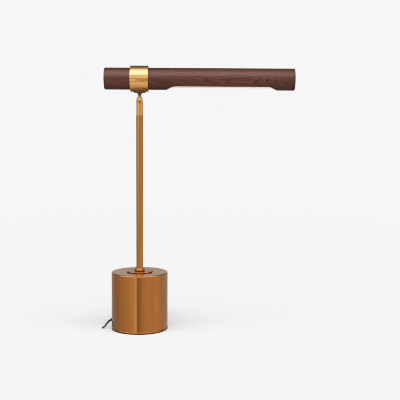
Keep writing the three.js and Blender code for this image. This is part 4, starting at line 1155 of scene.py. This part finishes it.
class LAMP_OT_neck(bpy.types.Operator):
    """Turns the neck and its saddle, and mills its tongue"""

    bl_idname = "lamp.neck"
    bl_label = "Neck"

    def execute(self, context):
        pin, axis = bpy.context.scene.lamp_pin, bpy.context.scene.lamp_bar_axis
        shoulder, waist = pin + 13.3 * MM, pin + 6.8 * MM
        rim, top = shoulder + 1.9 * MM, shoulder + 1.9 * MM + 6 * MM
        half = sizes().tongue_thickness / 2
        bar, flare, wide = 5.8 * MM, 5.4 * MM, 12.8 * MM
        saddle = turned("neck", rounded([
            (0, shoulder, 0), (11 * MM, shoulder, 0.4 * MM), (wide, rim, 0), (wide, top, 0), (0, top, 0)]),
            sides=96)
        root = shoulder + 0.4 * MM
        stalk = turned("stalk", [Vector(p) for p in ((0, pin), (bar, pin), (bar, root), (0, root))], sides=64)
        above, past = shoulder + 3 * MM, 9 * MM  # the tools reach past the metal
        milled = [(-half, pin), (half, pin), (half, waist), (flare, shoulder), (flare, above),
                  (-flare, above), (-flare, shoulder), (-half, waist)]
        across = prism("flare", milled, 2 * past,
                       Matrix.Translation((0, past, 0)) @ Matrix.Rotation(QUARTER, 4, "X"))
        shaped(stalk, "INTERSECT", across)
        shaped(saddle, "UNION", stalk, cross_pin("tip", 6 * MM, -half, half, pin, sides=64))
        lap = 26.35 * MM  # the ring's radius and a hair
        seat = cylinder("seat", lap, 80 * MM, along_x(-40 * MM, 0, axis), sides=192)
        wire = cylinder("wire", 1.5 * MM, 40 * MM, Matrix.Translation((0, 3.9 * MM, pin - past)), sides=24)
        shaped(saddle, "DIFFERENCE", seat, cross_pin("bore", PIN_HOLE, -past, past, pin), wire)
        softened(saddle, 0.15 * MM)
        # The neck gets the brass with painted shade.
        settle(saddle, "head", dark_brass(), "brass_satin", "head_neck")
        return {"FINISHED"}


def ring_tree():
    """Geometry nodes for a ring: a rectangle with rounded corners, swept round a circle."""
    tree, given, keys = node_group("Ring with rounded rims", ("Bore", "Float"), ("Wall", "Float"),
                                   ("Width", "Float"), ("Edge", "Float"), ("Metal", "Material"))
    middle = maths(tree, "ADD", given.outputs["Bore"], maths(tree, "DIVIDE", given.outputs["Wall"], 2.0))
    path = add(tree, "GeometryNodeCurvePrimitiveCircle", {"Resolution": 192, "Radius": middle})
    section = add(tree, "GeometryNodeCurvePrimitiveQuadrilateral", {
        "Width": given.outputs["Wall"], "Height": given.outputs["Width"]})
    soft = add(tree, "GeometryNodeFilletCurve", {
        "Curve": section.outputs[0], "Count": 5, "Radius": given.outputs["Edge"]}, mode="POLY")
    swept = add(tree, "GeometryNodeCurveToMesh", {
        "Curve": path.outputs["Curve"], "Profile Curve": soft.outputs[0]})
    upright = add(tree, "GeometryNodeTransform", {
        "Geometry": swept.outputs[0], "Rotation": (0, QUARTER, 0)})
    end_group(tree, upright.outputs[0], given.outputs["Metal"])
    return tree, keys


class LAMP_OT_ring(bpy.types.Operator):
    """Rolls the brass ring round the bar and sets its grub screw"""

    bl_idname = "lamp.ring"
    bl_label = "Ring"

    def execute(self, context):
        axis = bpy.context.scene.lamp_bar_axis
        outer = half_depth("ring_clamp")
        bore = high("wood_tube").y + 0.15 * MM
        ring = bpy.data.objects.new("ring", bpy.data.meshes.new("ring"))
        context.collection.objects.link(ring)
        width = high("ring_clamp").x - low("ring_clamp").x
        by_nodes(ring, *ring_tree(), (bore, outer - bore, width, sizes().ring_edge, satin_brass()))
        ring.data.transform(Matrix.Translation((0, 0, axis)))
        shaped(ring, "DIFFERENCE", cylinder("hole", 2.1 * MM, 9 * MM, along_y(0, outer - 6 * MM, axis)))
        settle(ring, "head", satin_brass(), "brass_satin", "ring_clamp")
        inner, face = low("ring_grub_screw").y, high("ring_grub_screw").y
        radius = 2 * MM
        grub = turned("grub_screw", rounded([
            (0, inner, 0), (radius, inner, 0.2 * MM), (radius, face, 0.3 * MM), (0, face, 0)]), sides=48,
            about=along_y(0, 0, axis))
        drive = cylinder("drive", 1.0 * MM, 3 * MM, along_y(0, face - 1.6 * MM, axis), sides=6)
        shaped(grub, "DIFFERENCE", drive)
        settle(grub, "head", zinc_steel(), "steel", "ring_grub_screw")
        return {"FINISHED"}


# Wooden bar


def cut_height(x, size):
    """How deep the light window is cut at a place along the bar."""
    start, end, depth, run = size.window_start, size.window_end, size.window_depth, size.window_cove
    inside = min(x - start, end - x)
    if inside <= 0:
        return 0.0
    if inside >= run:
        return depth
    cove = (run**2 + depth**2) / (2 * depth)
    return depth - cove + math.sqrt(max(0.0, cove**2 - (run - inside) ** 2))


def bar_rows(left, right, wall, size):
    """Places along the bar where the mesh has a row: close together in the coves, and where the wall is just
    pierced."""
    start, end, run, depth = size.window_start, size.window_end, size.window_cove, size.window_depth
    cove = (run**2 + depth**2) / (2 * depth)
    pierced = run - math.sqrt(cove**2 - (cove - depth + wall) ** 2) if depth > wall else run
    steps = sorted({run * k / 16 for k in range(17)} | {pierced})
    rows = [left, left + 0.5 * MM, *(start + s for s in steps)]
    rows += [start + run + (end - start - 2 * run) * k / 12 for k in range(1, 12)]
    rows += [end - s for s in reversed(steps)]
    return [*rows, right - 0.5 * MM, right]


def wood_tube(size):
    """The wooden tube with its light window, as one closed skin of rows along X."""
    outer = half_depth("wood_tube")
    inner = outer - size.bar_wall
    left, right = low("wood_tube").x, high("wood_tube").x
    axis = bpy.context.scene.lamp_bar_axis
    columns = 48
    mesh = bmesh.new()

    def row(x, radius, cut):
        level = outer - cut
        edge = math.acos(min(1.0, level / radius)) if cut > 0 else 0.0
        angles = [edge + (math.pi - edge) * k / columns for k in range(columns + 1)]
        angles += [-a for a in reversed(angles[1:-1])] + [-edge]
        return [mesh.verts.new((x, -radius * math.sin(a), axis - radius * math.cos(a))) for a in angles]

    rows = []
    for x in bar_rows(left, right, size.bar_wall, size):
        cut = cut_height(x, size)
        outside, inside = row(x, outer, cut), row(x, inner, cut)
        lip = [inside[0], inside[-1]]
        if cut < size.bar_wall:
            middle = mesh.verts.new((x, 0, axis - outer + cut))
            lip = [middle, middle]
        rows.append((cut, outside, inside, lip))
    for (cut_a, out_a, in_a, lip_a), (cut_b, out_b, in_b, lip_b) in zip(rows, rows[1:]):
        for k in range(len(out_a) - 1):
            mesh.faces.new((out_a[k], out_b[k], out_b[k + 1], out_a[k + 1]))
            mesh.faces.new((in_a[k], in_a[k + 1], in_b[k + 1], in_b[k]))
        if cut_a > 0 or cut_b > 0:
            for side, far in ((0, 0), (1, -1)):
                mesh.faces.new((out_a[far], lip_a[side], lip_b[side], out_b[far]))
    for cut, outside, inside, lip in (rows[0], rows[-1]):
        for k in range(len(outside) - 1):
            mesh.faces.new((outside[k], outside[k + 1], inside[k + 1], inside[k]))
    return as_object("light_bar", mesh, 30)


class LAMP_OT_light_bar(bpy.types.Operator):
    """Turns the wooden tube with its light window, and its two end caps"""

    bl_idname = "lamp.light_bar"
    bl_label = "Light bar"

    def execute(self, context):
        size = sizes()
        axis = bpy.context.scene.lamp_bar_axis
        settle(wood_tube(size), "head", walnut(), "walnut", "wood_tube")
        radius = half_depth("end_cap_right")
        plug, hollow = radius - size.bar_wall - 0.3 * MM, radius - 2 * size.bar_wall - 0.3 * MM
        for node, turn in (("end_cap_right", 1), ("end_cap_left", -1)):
            tip = high(node).x if turn > 0 else -low(node).x
            seat = tip - 4 * MM
            end = seat - 8 * MM
            cap = turned("bar_" + node, rounded([
                (0, seat, 0), (hollow, seat, 0), (hollow, end, 0.2 * MM), (plug, end, 0.3 * MM),
                (plug, seat, 0), (radius, seat, 0.12 * MM), (radius, tip, size.cap_edge), (0, tip, 0)], steps=8),
                about=Matrix.Translation((0, 0, axis)) @ Matrix.Rotation(turn * QUARTER, 4, "Y"))
            settle(cap, "head", walnut(), "walnut", node)
        return {"FINISHED"}


class LAMP_OT_diffuser(bpy.types.Operator):
    """Extrudes the opal diffuser behind the light window"""

    bl_idname = "lamp.diffuser"
    bl_label = "Diffuser"

    def execute(self, context):
        axis = bpy.context.scene.lamp_bar_axis
        radius = -(low("diffuser").z - axis)
        edge = high("diffuser").z - axis
        wall, gap = 2 * MM, math.asin(edge / radius)
        inner_gap = math.asin(edge / (radius - wall))
        outline = arc((0, 0), radius, -math.pi - gap, gap, 64)
        outline += arc((0, 0), radius - wall, inner_gap, -math.pi - inner_gap, 64)
        left, right = low("diffuser").x, high("diffuser").x
        place = Matrix(((0, 0, 1, left), (1, 0, 0, 0), (0, 1, 0, axis), (0, 0, 0, 1)))
        piece = prism("opal_diffuser", outline, right - left, place)
        settle(piece, "head", opal_acrylic(), "diffuser", "diffuser")
        return {"FINISHED"}


# Bushing, tie and adapter


class LAMP_OT_bushing(bpy.types.Operator):
    """Moulds the rubber bushing where the lead leaves the drum"""

    bl_idname = "lamp.bushing"
    bl_label = "Bushing"

    def execute(self, context):
        wall, outer = 55.2 * MM, 57.3 * MM
        bore, neck, flange, nose = 1.6 * MM, 3.6 * MM, 5.2 * MM, 2.1 * MM
        back, tip = wall - 1.2 * MM, outer + 2.6 * MM
        outline = rounded([
            (bore, back, 0), (flange, back, 0.3 * MM), (flange, wall, 0), (neck, wall, 0),
            (neck, outer, 0), (flange, outer, 0.1 * MM), (flange, outer + 0.9 * MM, 0.4 * MM),
            (nose + 0.9 * MM, outer + 1.1 * MM, 0.3 * MM), (nose, tip, 0.25 * MM), (bore, tip, 0.15 * MM)],
            steps=4)
        exit_angle = math.radians(172)
        place = Matrix.Translation((0, 0, 15.6 * MM)) @ Matrix.Rotation(exit_angle, 4, "Z")
        place = place @ Matrix.Rotation(QUARTER, 4, "Y")
        piece = turned("lead_bushing", outline, sides=48, about=place)
        settle(piece, "stand", black_rubber(), "rubber", "cord_bushing")
        return {"FINISHED"}


def fuzz_tree():
    """Geometry nodes that stand small loops on a band, with a fixed seed."""
    tree, given, keys = node_group("Loops on a band", ("Band", "Geometry"), ("Loops per square metre", "Float"),
                                   ("Loop size", "Float"), ("Thread", "Float"), ("Nylon", "Material"))
    points = add(tree, "GeometryNodeDistributePointsOnFaces", {
        "Mesh": given.outputs["Band"], "Density": given.outputs["Loops per square metre"], "Seed": 7})
    loop = add(tree, "GeometryNodeCurvePrimitiveCircle", {
        "Resolution": 6, "Radius": given.outputs["Loop size"]})
    thread = add(tree, "GeometryNodeCurvePrimitiveCircle", {
        "Resolution": 3, "Radius": given.outputs["Thread"]})
    wire = add(tree, "GeometryNodeCurveToMesh", {
        "Curve": loop.outputs[0], "Profile Curve": thread.outputs[0]})
    upright = add(tree, "GeometryNodeTransform", {
        "Geometry": wire.outputs[0], "Rotation": (QUARTER, 0, 0)})
    twist = add(tree, "FunctionNodeRandomValue", {"Seed": 11}, data_type="FLOAT_VECTOR")
    twist.inputs[0].default_value = (-0.4, -0.4, 0)
    twist.inputs[1].default_value = (0.4, 0.4, 6.28)
    turn = add(tree, "FunctionNodeRotateRotation", {
        "Rotation": points.outputs["Rotation"], "Rotate By": twist.outputs[0]}, rotation_space="LOCAL")
    stand = add(tree, "GeometryNodeInstanceOnPoints", {
        "Points": points.outputs["Points"], "Instance": upright.outputs[0], "Rotation": turn.outputs[0]})
    both = add(tree, "GeometryNodeJoinGeometry")
    tree.links.new(given.outputs["Band"], both.inputs[0])
    tree.links.new(stand.outputs[0], both.inputs[0])
    end_group(tree, both.outputs[0], given.outputs["Nylon"])
    return tree, keys


class LAMP_OT_tie(bpy.types.Operator):
    """Wraps the hook and loop band round the coil"""

    bl_idname = "lamp.tie"
    bl_label = "Tie"

    def execute(self, context):
        bottom, top = low("cord_tie"), high("cord_tie")
        thick, pile = 0.5 * MM, 0.28 * MM
        y0, y1, z0, z1 = bottom.y + 0.3 * MM, top.y - 0.1 * MM, bottom.z + pile, top.z - 0.1 * MM
        outside, inside = (
            rounded([(y0 + t, z0 + t, bend), (y1 - t, z0 + t, bend), (y1 - t, z1 - t, bend),
                     (y0 + t, z1 - t, bend)], steps=5)
            for t, bend in ((0, 1.6 * MM), (thick, 0.9 * MM))
        )
        mesh = bmesh.new()
        width = top.x - bottom.x - 0.4 * MM
        start = (top.x + bottom.x - width) / 2
        loops = []
        for x in (start, start + width):
            loops.append([[mesh.verts.new((x, y, z)) for y, z in line] for line in (outside, inside)])
        for k in range(len(outside)):
            n = (k + 1) % len(outside)
            for a, b in ((loops[0][0], loops[1][0]), (loops[1][1], loops[0][1]), (loops[0][1], loops[0][0]),
                         (loops[1][0], loops[1][1])):
                mesh.faces.new((a[k], a[n], b[n], b[k]))
        band = as_object("coil_tie", mesh, 60)
        loops_per_m2, loop_size, thread = 2.2e6, 0.22 * MM, 0.04 * MM
        by_nodes(band, *fuzz_tree(), (loops_per_m2, loop_size, thread, nylon_band()))
        settle(band, "stand", nylon_band(), "fabric", "cord_tie")
        return {"FINISHED"}


def row_tree():
    """Geometry nodes that repeat a small solid along a line."""
    tree, given, keys = node_group("Ribs in a row", ("Rib", "Geometry"), ("Count", "Int"), ("Step", "Vector"),
                                   ("Plastic", "Material"))
    line = add(tree, "GeometryNodeMeshLine", {
        "Count": given.outputs["Count"], "Offset": given.outputs["Step"]})
    ribs = add(tree, "GeometryNodeInstanceOnPoints", {
        "Points": line.outputs[0], "Instance": given.outputs["Rib"]})
    end_group(tree, ribs.outputs[0], given.outputs["Plastic"])
    return tree, keys


def box_outline(half_x, half_y, corner, steps=8):
    """A rectangle about the origin with rounded corners."""
    return rounded([(-half_x, -half_y, corner), (half_x, -half_y, corner), (half_x, half_y, corner),
                    (-half_x, half_y, corner)], steps=steps)


def stacked(name, outlines, smooth=35):
    """A closed skin over outlines of equal length at rising heights: (outline, height) pairs."""
    mesh = bmesh.new()
    rings = [[mesh.verts.new((x, y, z)) for x, y in outline] for outline, z in outlines]
    for here, ahead in zip(rings, rings[1:]):
        for k in range(len(here)):
            n = (k + 1) % len(here)
            mesh.faces.new((here[k], here[n], ahead[n], ahead[k]))
    mesh.faces.new(rings[0])
    mesh.faces.new(rings[-1])
    return as_object(name, mesh, smooth)


class LAMP_OT_adapter(bpy.types.Operator):
    """Moulds the plug-in adapter with its parting line, grip ribs, relief and blades"""

    bl_idname = "lamp.adapter"
    bl_label = "Adapter"

    def execute(self, context):
        self.case()
        self.relief()
        for node in ("plug_blade_left", "plug_blade_right"):
            self.blade(node)
        return {"FINISHED"}

    def case(self):
        """Two shells with rounded edges and a fine groove where they meet."""
        bottom, top = low("plug_adapter"), high("plug_adapter")
        half_x, half_y, height = (top.x - bottom.x) / 2, (top.y - bottom.y) / 2, top.z - bottom.z
        edge, corner, split = 1.8 * MM, 5 * MM, height * 0.42
        layers = []

        def layer(inset, z):
            layers.append((box_outline(half_x - inset, half_y - inset, corner - inset), z))

        angles = [QUARTER * k / 6 for k in range(7)]
        for a in angles:
            layer(edge * (1 - math.sin(a)), edge * (1 - math.cos(a)))
        for inset, z in ((0, -0.45), (0.12, -0.3), (0.4, -0.25), (0.4, 0.25), (0.12, 0.3), (0, 0.45)):
            layer(inset * MM, split + z * MM)
        for a in angles:
            layer(edge * (1 - math.cos(a)), height - edge * (1 - math.sin(a)))
        case = stacked("adapter_case", layers)
        case.data.transform(Matrix.Translation(((top.x + bottom.x) / 2, (top.y + bottom.y) / 2, bottom.z)))
        settle(case, "stand", black_abs(), "plastic", "plug_adapter")
        count, spacing, rise = 7, 3 * MM, 8 * MM
        section = box_outline(0.35 * MM, 0.6 * MM, 0.25 * MM, 3)
        for side, x in (("left", bottom.x), ("right", top.x)):
            rib = stacked("grip_" + side, [(section, 0), (section, rise)])
            rib.data.transform(Matrix.Translation((x, (top.y + bottom.y) / 2 - 9 * MM, split + 2.5 * MM)))
            by_nodes(rib, *row_tree(), (count, (0, spacing, 0), black_abs()))
            settle(rib, "stand", black_abs(), "plastic")

    def relief(self):
        """Tapered strain relief with slots between its ribs."""
        bottom, top = low("plug_relief"), high("plug_relief")
        run, root, tip, bore = top.y - bottom.y, 3.4 * MM, 2.0 * MM, 1.35 * MM
        corners = [(bore, 0, 0.2 * MM), (tip, 0, 0.3 * MM)]
        ribs = 5
        for k in range(ribs):
            for share, dip in ((0.25, 0.0), (0.45, 0.45), (0.75, 0.45), (0.95, 0.0)):
                z = run * (0.08 + 0.84 * (k + share) / ribs)
                corners.append((tip + (root - tip) * z / run - dip * MM, z, 0))
        corners += [(root, run, 0), (bore, run, 0)]
        centre = ((top.x + bottom.x) / 2, bottom.y, (top.z + bottom.z) / 2)
        piece = turned(
            "adapter_relief", rounded(corners, steps=3), sides=40, about=along_y(*centre), smooth=30)
        settle(piece, "stand", black_rubber(), "rubber", "plug_relief")

    def blade(self, node):
        """Flat blade with a hole and a tapered tip."""
        bottom, top = low(node), high(node)
        width, rise, thick = top.y - bottom.y, top.z - bottom.z, top.x - bottom.x
        taper, soft = 1.2 * MM, 0.3 * MM
        outline = rounded([(0, 0, 0), (width, 0, 0), (width, rise - taper, soft), (width - taper, rise, soft),
                           (taper, rise, soft), (0, rise - taper, soft)], steps=3)
        place = Matrix(((0, 0, 1, bottom.x), (1, 0, 0, bottom.y), (0, 1, 0, bottom.z), (0, 0, 0, 1)))
        blade = prism(node.replace("plug", "adapter"), outline, thick, place)
        hole = cross_pin("hole", 1.6 * MM, bottom.x - 1 * MM, top.x + 1 * MM, top.z - 4 * MM)
        hole.data.transform(Matrix.Translation((0, (top.y + bottom.y) / 2, 0)))
        shaped(blade, "DIFFERENCE", hole)
        softened(blade, 0.12 * MM, 2)
        settle(blade, "stand", nickel_brass(), "steel", node)


class LAMP_OT_inner_parts(bpy.types.Operator):
    """Gives the solids inside the lamp their finishes"""

    bl_idname = "lamp.inner_parts"
    bl_label = "Inner parts"

    def execute(self, context):
        finishes = {
            zinc_steel: ("plate_screw_1", "plate_screw_2", "plate_screw_3", "threaded_rod", "rod_washer",
                         "rod_nut_lower", "rod_nut_middle", "rod_nut_upper", "stem_bush", "swivel_washer",
                         "swivel_nut", "saddle_screw_1", "saddle_screw_2"),
            cast_iron: ("base_weight",),
            black_abs: ("board_tray",),
            black_pvc: ("inlet_wire",),
            green_board: ("dimmer_board",),
            silicone_wire: ("stem_wire", "head_wire"),
            aluminium: ("heat_sink",),
            white_board: ("led_board",),
        }
        for finish, nodes in finishes.items():
            for node in nodes:
                solid = frame["nodes"][node]
                for slot in solid.material_slots:
                    slot.material = finish()
        return {"FINISHED"}


class LAMP_PT_panel(bpy.types.Panel):
    """Lists the lamp's pieces and sizes"""

    bl_idname = "LAMP_PT_panel"
    bl_label = "Bar Lamp"
    bl_space_type = "VIEW_3D"
    bl_region_type = "UI"
    bl_category = "Lamp"

    def draw(self, context):
        for piece in PIECES:
            self.layout.operator(piece.bl_idname)
        for group in (context.scene.lamp_sizes, context.scene.lamp_colours):
            box = self.layout.box()
            for key in group.bl_rna.properties.keys():
                if key not in ("rna_type", "name"):
                    box.prop(group, key)


PIECES = (
    LAMP_OT_stage, LAMP_OT_lead, LAMP_OT_drum, LAMP_OT_foot, LAMP_OT_touch_disc, LAMP_OT_stem,
    LAMP_OT_knuckle, LAMP_OT_neck, LAMP_OT_ring, LAMP_OT_light_bar, LAMP_OT_diffuser, LAMP_OT_bushing,
    LAMP_OT_tie, LAMP_OT_adapter, LAMP_OT_inner_parts,
)
GROUPS = (LampSizes, LampColours)


def register():
    for group in (*GROUPS, *PIECES, LAMP_PT_panel):
        bpy.utils.register_class(group)
    joints = {joint["name"]: joint for joint in frame["joints"]}
    scene = bpy.types.Scene
    scene.lamp_sizes = PointerProperty(type=LampSizes)
    scene.lamp_colours = PointerProperty(type=LampColours)
    scene.lamp_pin = length("Hinge height", "Height of the hinge screw", joints["head_tilt"]["pos_m"][2])
    scene.lamp_bar_axis = length(
        "Bar height", "Height of the bar's axis", (low("wood_tube").z + high("wood_tube").z) / 2)


def unregister():
    for name in ("lamp_sizes", "lamp_colours", "lamp_pin", "lamp_bar_axis"):
        delattr(bpy.types.Scene, name)
    for group in reversed((*GROUPS, *PIECES, LAMP_PT_panel)):
        bpy.utils.unregister_class(group)


def main():
    """Builds every piece in order."""
    register()
    for piece in PIECES:
        group, name = piece.bl_idname.split(".")
        result = getattr(getattr(bpy.ops, group), name)()
        if result != {"FINISHED"}:
            raise RuntimeError(piece.bl_label + " wasn't made")


if __name__ == "__main__":
    main()
